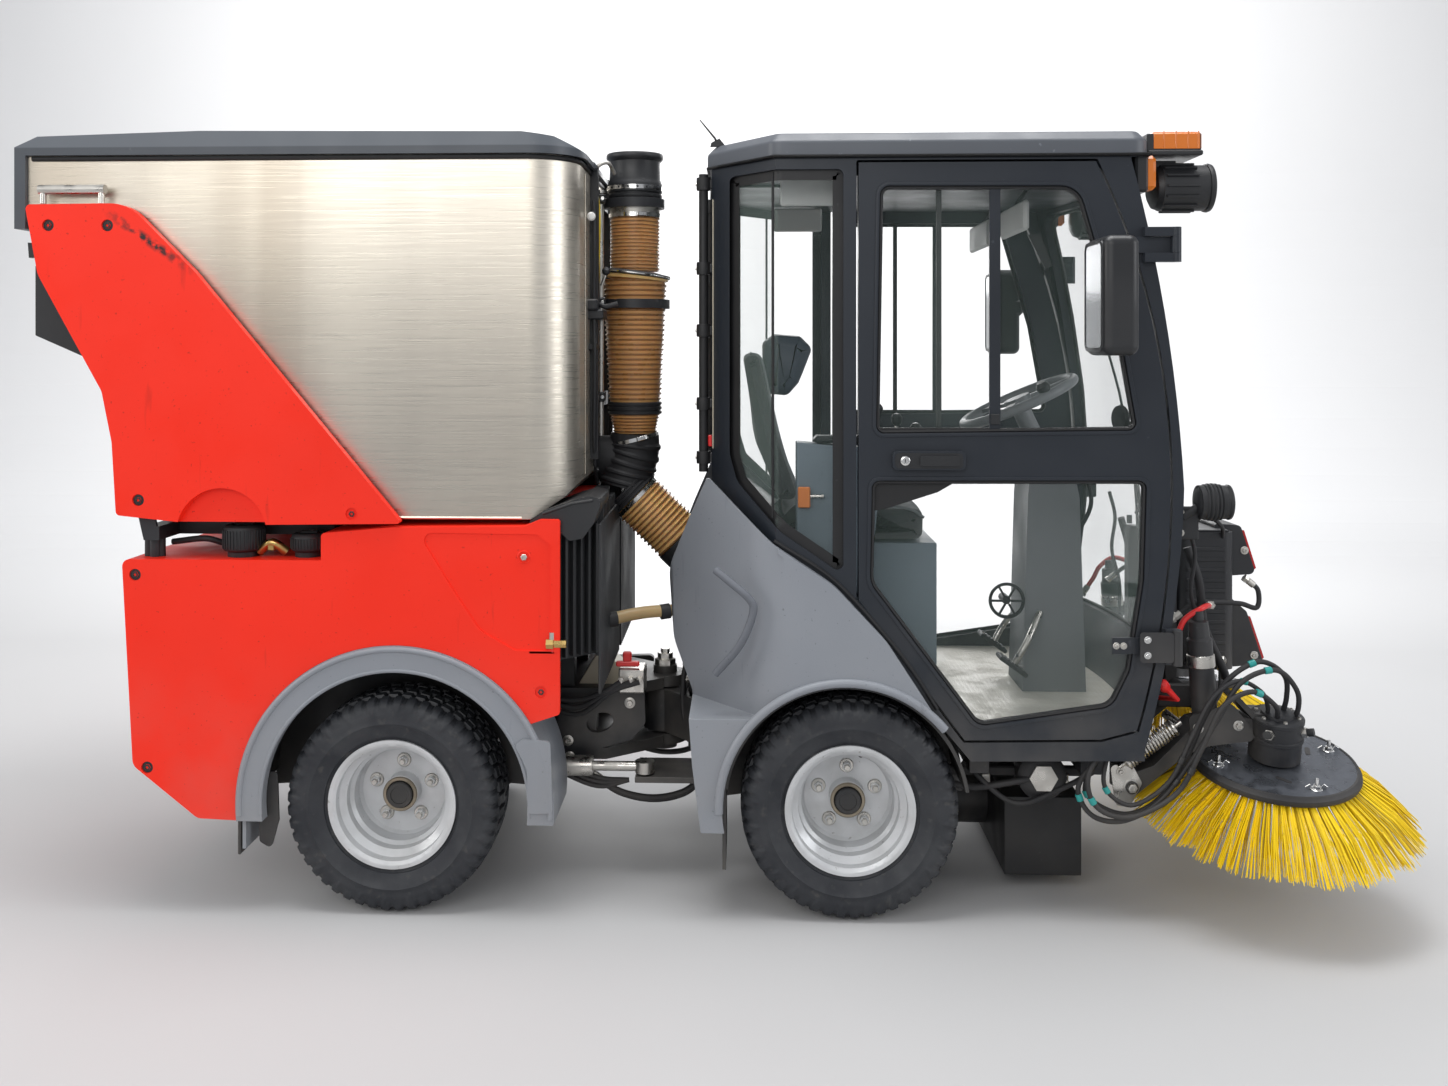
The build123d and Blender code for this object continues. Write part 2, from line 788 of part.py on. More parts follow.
def make_doors():
    for side, sign in SIDES:
        low, high = cab_half - door_thickness, cab_half
        leaf = across(door_outline(), low, high)
        for window in (upper_window(), lower_window()):
            leaf -= across(window, low - 1, high + 1)
        leaf += block(687, 714, high - 14.6, high - 6, 1205, 1838)
        grip = face([(445, 1124), (625, 1124), (625, 1170), (445, 1170)], radius=12)
        leaf += across(grip - Pos(560, 1143) * RectangleRounded(92, 24, 8), high - 1, high + 16)
        for z in door_hinge_heights:
            leaf += door_side_hinge(z)
        write(f"door_{side}", on_side(leaf, sign))
        panes = []
        for window in (upper_window(), lower_window()):
            panes.append(on_side(across(offset(window, -glass_gap), high - 20, high - 20 + glass_thickness), sign))
        write(f"door_glass_{side}", *panes)


def make_roof():
    """Roof tray with cut rear corners and a bevelled upper edge."""
    rear, front, half = cab_rear_x - 12, roof_front_x, cab_half + 8
    plan = face(
        [
            (rear, 15 - cab_rear_half),
            (cab_fold_x - 7, -half),
            (front, -half),
            (front, half),
            (cab_fold_x - 7, half),
            (rear, cab_rear_half - 15),
        ],
        radius=45,
    )
    tray = upward(plan, cab_top_z + seat_gap, roof_top_z)
    write("roof", chamfer(tray.faces().sort_by(Axis.Z)[-1].edges(), 24))


def panel_outline():
    """Side view of the panel beside the joint, from the cab's rear down to its foot."""
    outline = face(
        [
            (-18, 1090),
            (-75, 960),
            (-127, 828),
            (-112, 640),
            (-60, 520),
            (-51, 393),
            (-30, 225),
            (60, 225),
            (60, 400),
            (546, 400),
            (546, 523),
            (430, 700),
            (300, 838),
            (150, 938),
        ],
        radius=(8, 200, 120, 120, 60, 30, 6, 6, 0, 0, 4, 200, 200, 200),
    )
    arch = Pos(front_arch_x, front_arch_z) * Circle(front_arch_radius)
    return outline - arch


def make_side_panels():
    """Moulded panels that wrap round the rear of the cab and cover the front wheels."""
    outline = panel_outline()
    plan = [(-200, 130), (-127, 130), (-127, 215), (140, body_half), (600, body_half), (600, 130)]
    outer = upward(face(plan[1:], radius=(0, 60, 180, 0, 0)), 506, 1200)
    hollow = [(-115, 120), (-115, 211), (146, body_half - 12), (620, body_half - 12), (620, 120)]
    inner = upward(face(hollow, radius=(0, 60, 170, 0, 0)), 490, 1210)
    panel = across(outline, 130, body_half) & (outer - inner)
    foot = across(outline, 330, body_half) & block(-60, 600, 330, body_half, 200, 507)
    foot -= block(-39, 620, 320, body_half - 12, 190, 510)
    shelf = across(outline, 235, body_half) & block(-60, 200, 235, body_half, 495, 507)
    lip = outline - offset(outline, -12)
    lip &= face([(160, 1000), (160, 890), (300, 790), (430, 655), (500, 560), (560, 560), (560, 1000)])
    flange = across(lip, cab_half + seat_gap, body_half - 6)
    write("side_panels", *pair(panel + foot + shelf + flange))


def make_liners():
    """Black inner arches over the front wheels, with a mudflap behind each tyre."""
    ring = Circle(liner_radius) - Circle(liner_radius - liner_skin)
    keep = face([(-100, 330), (700, 330), (700, 700), (-100, 700)])
    skin = (Pos(front_arch_x, front_arch_z) * ring) & keep
    liner = across(skin, 300, body_half - 12.5)
    liner += block(24, 33, 320, body_half - 14, 130, 352)
    write("arch_liners", *pair(liner))


def make_front_frame():
    """Two side members, cross members and the tongue that turns between the rear forks."""
    lug_z = ram_z - ram_eye_half - 6
    frame = block(-60, 1084, 110, 170, front_frame_z, 395)
    frame += block(-60, 1084, -170, -110, front_frame_z, 395)
    for x in (-30, 342, 700, 1050):
        frame += block(x - 30, x + 30, -115, 115, 345, 390)
    tongue = face([(-60, -170), (pivot_x, -60), (pivot_x, 60), (-60, 170)])
    eye = Pos(pivot_x, 0) * Circle(knuckle_radius)
    frame += upward(tongue + eye, fork_low_z + knuckle_gap, fork_high_z - knuckle_gap)
    frame -= upward(Pos(pivot_x, 0) * Circle(pivot_pin_radius + 0.1), 300, 500)
    for sign in (-1, 1):
        low, high = sorted((sign * 105, sign * (ram_y + ram_eye_radius)))
        frame += block(ram_eye_x - 25, -20, low, high, lug_z - 16, lug_z)
        low, high = sorted((sign * 112, sign * 158))
        frame += block(-60, -20, low, high, lug_z - 16, front_frame_z + 1)
        low, high = sorted((sign * 165, sign * 420))
        frame += block(650, 700, low, high, 345, 395)
        frame += block(930, 990, low, high, 345, 395)
        low, high = sorted((sign * 350, sign * 410))
        frame += block(655, 695, low, high, 390, 430) + block(940, 980, low, high, 390, 430)
    write("front_frame", frame - cab_solid(-seat_gap))


def make_floor():
    """Tread plate floor of the cab, cut to the inside of its walls."""
    slab = block(600, 1300, -cab_half, cab_half, 300, cab_floor_z)
    write("cab_floor", slab & cab_solid(cab_wall + seat_gap))


def make_seat():
    """Seat box on the sloping rear floor, cushion, and a backrest with its head cushion."""
    inside = cab_solid(cab_wall + seat_gap)
    box = face([(260, 900), (260, 600), (598, 400), (598, 900)])
    console = face([(215, 1180), (560, 1150), (560, 1090), (430, 1040), (400, 780), (215, 900)])
    console = across(console, -345, -262) & inside
    write("seat_base", across(box, -215, 215) & inside, console)
    top = 1000
    cushion = face([(240, 900 + seat_gap), (680, 900 + seat_gap), (680, top), (175, top), (175, 955)], radius=22)
    cushion = across(cushion, -240, 240)
    low = top + seat_gap
    back = face(
        [(238, low), (180, 1161), (118, 1420), (66, 1420), (110, 1161), (165, low)],
        radius=(12, 100, 16, 16, 100, 12),
    )
    head = face([(128, 1290), (122, 1450), (150, 1471), (262, 1471), (281, 1440), (262, 1290)], radius=16)
    rest = across(back, -215, 215) + across(head, -125, 125)
    rest += across(face([(100, 1330), (140, 1330), (140, 1400), (90, 1400)]), -60, 60)
    write("seat_cushions", cushion, rest)


def make_controls():
    """Steering pedestal, steering wheel, pedals and the console beside the seat."""
    pedestal = face([(850, 400), (1030, 400), (1010, 1010), (985, 1130), (880, 1150), (868, 1010)])
    column = across(pedestal, -95, 95) & cab_solid(cab_wall + seat_gap)
    column -= block(600, 1300, -200, 200, 300, cab_floor_z + seat_gap)
    column += rod((930, 0, 1120), (861, 0, 1267), 26)
    wheel = Torus(165, 14) + Cylinder(38, 24)
    for turn in range(3):
        wheel += Rot(0, 0, 120 * turn) * Pos(98, 0, 0) * Box(140, 26, 10)
    tilt = Pos(866, 0, 1262) * Rot(0, -24, 0)
    write("steering_column", column + tilt * Pos(0, 0, 14) * wheel)


def make_lamps():
    """Amber corner lamps, roof work lamps on brackets and round lamps on the front pillars."""
    pieces = []
    y = cab_half - 100
    lamp = block(roof_front_x + seat_gap, roof_front_x + 134, y - 70, y + 70, 1912, 1960)
    pieces += pair(lamp)
    work = rod((1128, y, 1832), (1245, y, 1832), 58)
    work += block(1058, 1170, y - 15, y + 15, 1880, 1900)
    pieces += pair(work - cab_solid(-seat_gap))
    y = cab_half - 30
    low = rod((1205, y, 1043), (1272, y, 1043), 42)
    low += rod((1165, y, 1005), (1215, y, 1035), 11)
    write("cab_lamps", *pieces, *pair(low - cab_solid(-seat_gap)))


def make_hinges():
    """Fixed halves of the door hinges, bolted to the front pillars."""
    halves = []
    x, y = door_hinge_x, door_hinge_y
    inner = hinge_leaf_half + 0.5
    for z, rear in zip(door_hinge_heights, door_strap_rears):
        half = rod((x, y, z - hinge_half + 1), (x, y, z + hinge_half - 1), door_pin_radius)
        for low, high in ((z - hinge_half, z - inner), (z + inner, z + hinge_half)):
            half += rod((x, y, low), (x, y, high), door_hinge_radius)
            half += block(rear, x, cab_half + seat_gap, y + 8, low, high)
        halves += pair(half)
    write("door_hinges", *halves)


def door_side_hinge(z):
    x, y = door_hinge_x, door_hinge_y
    low, high = z - hinge_leaf_half, z + hinge_leaf_half
    leaf = block(985, 1020, cab_half - 1, cab_half + 8, low, high)
    leaf += block(1019, x, cab_half + 1.5, cab_half + 8, low, high)
    leaf += rod((x, y, low), (x, y, high), door_hinge_radius)
    return leaf - rod((x, y, z - 30), (x, y, z + 30), door_pin_radius + 0.1)


def make_mirrors():
    """Mirror heads with their arms, carried by the doors."""
    for side, sign in SIDES:
        elbow = (1010, cab_half + 30, 1600)
        head = block(902, 985, cab_half + 60, cab_half + 240, 1408, 1686)
        head = fillet(head.edges(), 22)
        arm = rod((984, cab_half + 100, 1560), elbow, 11)
        arm += rod(elbow, (1010, cab_half + seat_gap, 1600), 11)
        arm += Pos(*elbow) * Sphere(11)
        write(f"mirror_{side}", on_side(head + arm, sign))


def make_suction():
    """Elbow on the hopper, flexible main hose, duct below the cab and the suction mouth."""
    start, end = Vector(*hose_start), Vector(*hose_end)
    way = (end - start).normalized()
    elbow = rod((tube_x, 0, 1080), (tube_x, 0, tube_bottom_z - seat_gap), elbow_radius)
    elbow += rod(tuple(start - way * 120), tuple(start), 84)
    elbow += rod((hopper_front_x - 20, 0, inlet_z), (tube_x - 30, 0, inlet_z), inlet_radius)
    elbow -= block(-700, hopper_front_x + seat_gap, -300, 300, 900, 1400)
    elbow -= rod((tube_x, 0, 1092), (tube_x, 0, tube_bottom_z + 10), elbow_radius - tube_wall)
    elbow -= rod(tuple(start - way * 110), tuple(start), 84 - tube_wall)
    elbow -= rod((hopper_front_x - 20, 0, inlet_z), (tube_x - 30, 0, inlet_z), inlet_radius - tube_wall)
    elbow -= rod(tuple(start - way * hose_gap), tuple(start + way * 250), 160)
    write("inlet_elbow", elbow)
    hose = tube(hose_start, hose_end, hose_radius, tube_wall)
    hose += tube(hose_start, tuple(start + way * 34), hose_radius + 10, 12)
    write("suction_hose", hose)
    first = end + way * seat_gap
    duct_z = wheel_centre_z - axle_half - seat_gap - hose_radius
    path = FilletPolyline(
        tuple(first),
        tuple(first + way * 190),
        (125, 0, 450),
        (218, 0, duct_z),
        (760 - seat_gap, 0, duct_z),
        radius=105,
    )
    ring = Circle(hose_radius) - Circle(hose_radius - 5)
    write("suction_duct", sweep(Plane(origin=tuple(first), z_dir=way) * ring, path=path))
    mouth = block(760, 960, -310, 310, 45, 250) - block(768, 952, -302, 302, 40, 242)
    mouth -= rod((700, 0, duct_z), (770, 0, duct_z), hose_radius - 5)
    for sign in (-1, 1):
        low, high = sorted((sign * 125, sign * 155))
        mouth += block(840, 880, low, high, 249, front_frame_z - seat_gap)
    write("suction_mouth", mouth)


def make_water_hose():
    """Thin water hose that crosses the joint beside the radiator."""
    path = FilletPolyline(
        (-285 + seat_gap, -372, 706), (-235, -372, 706), (-170, -205, 712), (-121, -205, 712), radius=38
    )
    write("water_hose", sweep(Plane(origin=(-285 + seat_gap, -372, 706), z_dir=(1, 0, 0)) * Circle(25), path=path))


def make_tail():
    """Black board under the lid's rear lip, and a grab handle on top of each wing."""
    board = face([(-1765, 1640), (-1765, 1459), (-1640, 1405), (-1564, 1420), (-1691, 1640)])
    write("tail_board", across(board, 65 - hopper_half, hopper_half - 65))
    y = wing_inner + 17
    bar = rod((-1700, y, 1826), (-1530, y, 1826), 12)
    for x in (-1690, -1540):
        bar += rod((x, y, 1826), (x, y, 1790 + seat_gap), 8)
    write("grab_handles", *pair(bar))


# Front attachments


def make_carrier():
    """Cross beam below the cab's nose, the ears that hold the brush arms, and two posts."""
    beam_half = arm_inner_y - 5
    beam = block(1084 + seat_gap, 1130, -beam_half, beam_half, 330, 385)
    for sign in (-1, 1):
        low, high = sorted((sign * (beam_half - 16), sign * beam_half))
        ear = face([(1030, 292), (1075, 292), (1130, 330), (1130, 385), (1085, 385), (1030, 348)])
        beam += across(ear, low, high)
        start, end = [(arm_pin_x, sign * y, arm_pin_z) for y in (arm_inner_y - 19, arm_outer_y + 13)]
        beam += rod(start, end, arm_pin_radius)
        low, high = sorted((sign * 150, sign * 190))
        post = face([(1090, 380), (1130, 380), (1245, 480), (1245, 900), (1215, 900), (1215, 520), (1090, 420)])
        beam += across(post, low, high) - cab_solid(-5)
    write("front_carrier", beam)
    module = block(1245 + seat_gap, 1400, -195, 195, 560, 930)
    module = fillet(module.edges().filter_by(Axis.Z), 30)
    for corners in (
        [(1358, 948), (1430, 943), (1471, 811), (1388, 805)],
        [(1376, 770), (1446, 709), (1492, 566), (1388, 556)],
    ):
        board = face(corners, radius=(8, 14, 14, 8))
        module += across(board, -150, 150)
    write("front_module", module)


def brush_place():
    return Pos(brush_x, brush_y, brush_z) * Rot(-brush_tilt, 0, 0)


def make_brushes():
    """Lift arm with the brush motor, and the brush itself: a disc and a cone of bristles."""
    for side, sign in SIDES:
        side_view = face(
            [(1028, 300), (1060, 292), (1190, 400), (1330, 455), (1440, 455), (1440, 475),
             (1320, 500), (1215, 480), (1110, 372), (1028, 342)],
            radius=(12, 12, 12, 12, 8, 8, 12, 12, 12, 12),
        )
        arm = across(side_view, arm_inner_y, arm_outer_y)
        arm -= rod((arm_pin_x, 0, arm_pin_z), (arm_pin_x, reach, arm_pin_z), arm_pin_radius + 0.1)
        motor = brush_place() * Pos(0, 0, 72) * Cylinder(62, 110)
        arm += motor
        arm += brush_place() * Pos(0, 0, 17) * Cylinder(26, 22 - 2 * seat_gap)
        write(f"brush_arm_{side}", on_side(arm, sign))
        disc = Cylinder(brush_disc_radius, 22) - Cylinder(50, 30)
        disc += Cylinder(60, 12)
        write(f"brush_disc_{side}", on_side(brush_place() * disc, sign))
        cone = make_face(
            Polyline(
                (118, -11.3), (190, -11.3), (brush_tip_radius, -134), (brush_tip_radius - 8, -150),
                (236, -150), close=True,
            )
        )
        bristles = revolve(Plane.XZ * cone, Axis.Z)
        write(f"bristles_{side}", on_side(brush_place() * bristles, sign))


if __name__ == "__main__":
    os.makedirs("parts", exist_ok=True)
    make_wheels()
    write("rear_axle", axle(rear_axle_x, 150, rear_frame_z))
    write("front_axle", axle(front_axle_x, 140, front_frame_z))
    make_rear_frame()
    make_rear_covers()
    make_rear_fenders()
    make_wings()
    make_radiator()
    make_cradle()
    make_filler_caps()
    make_steering_cylinders()
    make_engine()
    make_rear_lamps()
    make_hopper()
    make_lid()
    make_hopper_front()
    make_hand_tube()
    make_cab()
    make_doors()
    make_roof()
    make_side_panels()
    make_liners()
    make_front_frame()
    make_floor()
    make_seat()
    make_controls()
    make_lamps()
    make_hinges()
    make_mirrors()
    make_suction()
    make_water_hose()
    make_tail()
    make_carrier()
    make_brushes()
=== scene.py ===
"""Compact articulated suction sweeper: finishes, tyres, hoses, bristles, cab interior and studio.

Everything is in metres in the vehicle's own frame: +X forward, +Y left, +Z up.
"""

import random
from math import atan2, ceil, copysign, cos, exp, hypot, pi, radians, sin, sqrt, tan

import bpy
import numpy as np
from mathutils import Matrix, Vector


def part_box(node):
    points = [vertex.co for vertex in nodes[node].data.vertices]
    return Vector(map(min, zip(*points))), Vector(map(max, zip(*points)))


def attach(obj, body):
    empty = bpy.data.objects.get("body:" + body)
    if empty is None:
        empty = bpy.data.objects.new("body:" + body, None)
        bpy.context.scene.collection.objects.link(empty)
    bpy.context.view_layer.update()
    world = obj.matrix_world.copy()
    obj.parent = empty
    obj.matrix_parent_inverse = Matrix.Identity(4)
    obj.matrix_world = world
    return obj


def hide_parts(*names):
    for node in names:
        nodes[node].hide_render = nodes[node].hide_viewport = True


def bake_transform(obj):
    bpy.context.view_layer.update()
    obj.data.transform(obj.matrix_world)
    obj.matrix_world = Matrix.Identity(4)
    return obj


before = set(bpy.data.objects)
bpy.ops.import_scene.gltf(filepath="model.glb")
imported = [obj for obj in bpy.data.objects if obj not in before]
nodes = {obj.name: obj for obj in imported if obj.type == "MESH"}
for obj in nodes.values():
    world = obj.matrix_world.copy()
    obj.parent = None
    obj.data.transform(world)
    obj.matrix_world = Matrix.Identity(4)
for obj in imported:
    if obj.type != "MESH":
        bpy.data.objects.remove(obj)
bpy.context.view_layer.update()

SIDES = (("right", -1), ("left", 1))
TURN = 2 * pi
FORWARD, BACK, OUT = (1, 0, 0), (-1, 0, 0), (0, 1, 0)
UP = Vector((0, 0, 1))


# Colours, as linear red, green and blue

ORANGE = (0.92, 0.026, 0.008)
ORANGE_WORN = (0.76, 0.02, 0.006)
STEEL = (0.66, 0.61, 0.53)
# darker, warmer band colour of the painted reflection on the stainless tank
STEEL_WARM_REFLECTION_BAND = (0.52, 0.45, 0.36)
STEEL_SMEAR = (0.44, 0.4, 0.33)
SLATE = (0.058, 0.066, 0.078)
BLUE_GREY = (0.255, 0.272, 0.3)
ANTHRACITE = (0.017, 0.021, 0.028)
ROOF_GREY = (0.078, 0.086, 0.1)
# painted shade: darker grey for the pressed line on the joint panel, standing in for the shade in the
# crease
CREASE_PAINTED_SHADE = (0.13, 0.14, 0.16)
BLACK = (0.012, 0.013, 0.015)
RUBBER = (0.016, 0.016, 0.018)
TYRE = (0.019, 0.021, 0.026)
DUST = (0.3, 0.27, 0.23)
SILVER = (0.62, 0.63, 0.64)
ZINC = (0.6, 0.58, 0.54)
BRASS = (0.55, 0.38, 0.14)
HOSE_TAN = (0.95, 0.6, 0.24)
HOSE_DARK = (0.72, 0.4, 0.14)
YELLOW = (0.9, 0.64, 0.012)
YELLOW_DEEP = (0.56, 0.36, 0.008)
INTERIOR = (0.17, 0.215, 0.25)
RED = (0.7, 0.02, 0.02)
AMBER = (0.58, 0.15, 0.012)
TEAL = (0.02, 0.3, 0.28)
GLASS = (0.28, 0.36, 0.33)
WHITE = (0.8, 0.8, 0.78)


# Materials


class Finish:
    """A principled material whose colour, roughness and relief are built up from noise."""

    def __init__(self, name, colour, rough, metal=0.0, **sockets):
        self.material = bpy.data.materials.new(name)
        self.material.use_nodes = True
        self.material.diffuse_color = (*colour, 1)
        self.tree = self.material.node_tree
        self.shader = self.tree.nodes["Principled BSDF"]
        sockets.update(Base_Color=(*colour, 1), Roughness=rough, Metallic=metal)
        for key, value in sockets.items():
            self.shader.inputs[key.replace("_", " ")].default_value = value
        self.coords = self.node("TexCoord").outputs["Object"]
        self.colour = (*colour, 1)
        self.relief = None

    def node(self, kind, settings=None, **inputs):
        made = self.tree.nodes.new("ShaderNode" + kind)
        for key, value in (settings or {}).items():
            setattr(made, key, value)
        for key, value in inputs.items():
            self.feed(made.inputs[key.replace("_", " ")], value)
        return made

    def feed(self, socket, value):
        if isinstance(value, bpy.types.NodeSocket):
            self.tree.links.new(value, socket)
        else:
            socket.default_value = value

    def noise(self, scale, detail, low=0.4, high=0.6, stretch=None):
        """Cloudy pattern, spread so that it runs from 0 at low to 1 at high."""
        vector = self.coords
        if stretch:
            vector = self.node("Mapping", Vector=vector, Scale=stretch).outputs["Vector"]
        made = self.node("TexNoise", Vector=vector, Scale=scale, Detail=detail, Roughness=0.5)
        return self.spread(made.outputs["Fac"], low, high)

    def spread(self, value, low, high, to_low=0.0, to_high=1.0):
        made = self.node(
            "MapRange", Value=value, From_Min=low, From_Max=high, To_Min=to_low, To_Max=to_high
        )
        return made.outputs["Result"]

    def height(self, low, high):
        """From 0 at the height low to 1 at high, or the other way round."""
        return self.spread(self.node("SeparateXYZ", Vector=self.coords).outputs["Z"], low, high)

    def math(self, operation, *values):
        made = self.node("Math", {"operation": operation})
        for socket, value in zip(made.inputs, values):
            self.feed(socket, value)
        return made.outputs["Value"]

    def tint(self, share, colour, strength=1.0):
        """Lays a second colour over what is there, where share is high."""
        if strength != 1.0:
            share = self.math("MULTIPLY", share, strength)
        made = self.node("Mix", {"data_type": "RGBA"}, Factor=share)
        self.feed(made.inputs["A"], self.colour)
        self.feed(made.inputs["B"], (*colour, 1))
        self.colour = made.outputs["Result"]
        self.feed(self.shader.inputs["Base Color"], self.colour)
        return self

    def clouds(self, scale, detail, low, high, colour, strength, stretch=None):
        """A second colour in patches of noise."""
        return self.tint(self.noise(scale, detail, low, high, stretch), colour, strength)

    def vary(self, share, low, high):
        """Roughness from low to high as share goes from 0 to 1."""
        self.feed(self.shader.inputs["Roughness"], self.spread(share, 0, 1, low, high))
        return self

    def bump(self, height, depth, strength=1.0):
        """Relief of that depth in metres."""
        made = self.node("Bump", Height=height, Strength=strength, Distance=depth)
        if self.relief:
            self.feed(made.inputs["Normal"], self.relief)
        self.relief = made.outputs["Normal"]
        self.feed(self.shader.inputs["Normal"], self.relief)
        return self

    def grain(self, scale, detail, depth, strength):
        """Fine even relief."""
        return self.bump(self.noise(scale, detail, 0.3, 0.7), depth, strength)

    def dusty(self, low, high, strength):
        """Road dust that thickens towards the ground."""
        share = self.math("MULTIPLY", self.height(high, low), self.noise(6, 5, 0.35, 0.75))
        return self.tint(share, DUST, strength)

    def rub(self, centre, length, turn, width):
        """Dark rubbed streak about a centre, at an angle in the X-Z plane, that fades to its edges."""
        place = self.node(
            "Mapping", {
                "vector_type": "TEXTURE"
            }, Vector=self.coords, Location=centre, Rotation=(0, turn, 0)
        )
        split = self.node("SeparateXYZ", Vector=place.outputs["Vector"])
        across, upward = (
            self.spread(self.math("ABSOLUTE", split.outputs[axis]), reach, reach * 0.3)
            for axis, reach in (("X", length / 2), ("Z", width / 2))
        )
        share = self.math("MULTIPLY", self.math("MULTIPLY", across, upward), self.noise(60, 5, 0.42, 0.6))
        return self.tint(share, (0.02, 0.018, 0.018))


def scaled(colour, factor, more=0.0, most=None):
    """The colour made paler or darker, each part no higher than most."""
    made = (factor * value + more for value in colour)
    return tuple(made) if most is None else tuple(min(most, value) for value in made)


def moulded(name, colour, worn, rough, rub=None, **sockets):
    """Moulded plastic: faint orange peel, slow colour drift, fine scratches, dust low down."""
    made = Finish(name, colour, rough, **sockets)
    made.clouds(2.2, 3, 0.35, 0.7, worn, 0.35)
    made.clouds(28, 6, 0.66, 0.72, scaled(colour, 0.5), 0.35, stretch=(1, 1, 0.12))
    made.clouds(120, 2, 0.7, 0.76, scaled(colour, 0.3), 0.5)
    made.dusty(0.15, 0.7, 0.25)
    made.vary(made.noise(5, 4), rough * 0.82, min(1, rough * 1.3))
    made.grain(380, 2, 0.0002, 0.35)
    made.bump(made.noise(3, 2, 0.2, 0.8), 0.004, 0.08)
    if rub:
        made.rub(*rub)
    return made.material


def painted(name, colour, rough, dust=0.35, **sockets):
    """Even paint with faint clouds, a few small chips and dust low down."""
    made = Finish(name, colour, rough, **sockets)
    made.clouds(3.5, 4, 0.3, 0.75, scaled(colour, 1.6, 0.01, most=1), 0.14)
    made.clouds(60, 4, 0.71, 0.74, scaled(colour, 2.2, 0.02), 0.5)
    made.dusty(0.1, 0.8, dust)
    made.vary(made.noise(8, 4), rough * 0.92, min(1, rough * 1.14))
    made.grain(500, 2, 0.0001, 0.3)
    return made.material


def two_tone_lid():
    """Slate paint, painted paler on the lid's sloping top than on its skirt, as painted light from above.
    """
    made = Finish("lid_paint", SLATE, 0.36)
    # painted light: above 1.935 m the sloping top is tinted paler than the skirt, as light from above
    # would make it look
    made.tint(made.height(1.9335, 1.9365), (0.125, 0.14, 0.16), 0.9)
    made.clouds(3.5, 4, 0.3, 0.75, (0.075, 0.085, 0.1), 0.12)
    made.clouds(50, 4, 0.7, 0.74, (0.16, 0.17, 0.18), 0.2)
    made.vary(made.noise(8, 4), 0.38, 0.46)
    made.grain(500, 2, 0.0001, 0.3)
    return made.material


def brushed_steel():
    """Stainless sheet brushed along its length, with broad darker, warmer bands and paler bands painted on
    as reflections of the room.
    """
    made = Finish("stainless_brushed", STEEL, 0.3, metal=1.0, Anisotropic=0.6)
    # painted reflection: broad upright bands, first darker and warmer, then paler, stand in for the room
    # mirrored in the steel
    made.clouds(2.1, 1, 0.42, 0.62, STEEL_WARM_REFLECTION_BAND, 0.75, stretch=(1, 0.3, 0.02))
    made.clouds(5.0, 2, 0.5, 0.72, (0.9, 0.84, 0.72), 0.45, stretch=(1, 0.3, 0.03))
    lines = made.noise(1.0, 4, 0.3, 0.7, stretch=(5, 5, 900))
    made.tint(lines, STEEL_SMEAR, 0.2)
    made.clouds(2.4, 6, 0.55, 0.8, STEEL_SMEAR, 0.18, stretch=(1, 1, 1.6))
    made.clouds(14, 8, 0.7, 0.735, (0.2, 0.19, 0.17), 0.4, stretch=(0.25, 1, 3.5))
    made.vary(lines, 0.24, 0.46)
    made.bump(lines, 0.00012, 0.5)
    made.bump(made.noise(1.6, 2, 0.2, 0.8), 0.006, 0.15)
    tangent = made.node("Tangent", {"direction_type": "RADIAL", "axis": "Z"})
    made.feed(made.shader.inputs["Tangent"], tangent.outputs["Tangent"])
    return made.material


def tyre_rubber():
    made = Finish("tyre_rubber", TYRE, 0.62)
    made.clouds(9, 5, 0.4, 0.75, (0.055, 0.058, 0.062), 0.6)
    made.clouds(45, 4, 0.6, 0.75, (0.1, 0.095, 0.085), 0.35)
    made.vary(made.noise(12, 3), 0.5, 0.78)
    made.grain(160, 3, 0.0006, 0.4)
    return made.material


def bare_metal(name, colour, rough, dirt=0.4, metal=1.0):
    made = Finish(name, colour, rough, metal=metal)
    made.clouds(14, 5, 0.5, 0.8, scaled(colour, 0.35), dirt)
    made.vary(made.noise(30, 4), rough * 0.7, min(1, rough * 1.5))
    made.grain(220, 3, 0.0002, 0.3)
    return made.material


def wheel_silver():
    made = Finish("wheel_silver", SILVER, 0.42, metal=0.35)
    made.clouds(11, 5, 0.45, 0.75, (0.36, 0.36, 0.35), 0.45)
    made.clouds(70, 3, 0.68, 0.74, (0.16, 0.14, 0.12), 0.5)
    made.vary(made.noise(18, 3), 0.32, 0.6)
    made.grain(300, 2, 0.0001, 0.4)
    return made.material


def hose_skin(name, colour, dark, rough=0.38):
    """Thin translucent hose wall between its ribs."""
    made = Finish(name, colour, rough, Subsurface_Weight=0.15, Coat_Weight=0.25, Coat_Roughness=0.3)
    made.clouds(7, 4, 0.35, 0.7, dark, 0.45)
    made.clouds(60, 4, 0.6, 0.75, DUST, 0.3)
    made.vary(made.noise(30, 3), rough * 0.8, rough * 1.5)
    made.grain(200, 2, 0.0003, 0.4)
    return made.material


def bristle_yellow():
    """Plastic strands that differ in colour, a few of them dark, with dirt between."""
    made = Finish("bristle_yellow", YELLOW, 0.42, Specular_IOR_Level=0.25)
    island = made.node("NewGeometry").outputs["Random Per Island"]
    made.tint(made.spread(island, 0.55, 1.0), YELLOW_DEEP, 0.75)
    made.tint(made.spread(island, 0.955, 0.96), (0.1, 0.07, 0.03), 0.8)
    made.clouds(90, 3, 0.62, 0.75, (0.25, 0.15, 0.04), 0.5)
    made.vary(island, 0.32, 0.6)
    made.grain(400, 2, 0.0003, 0.4)
    return made.material


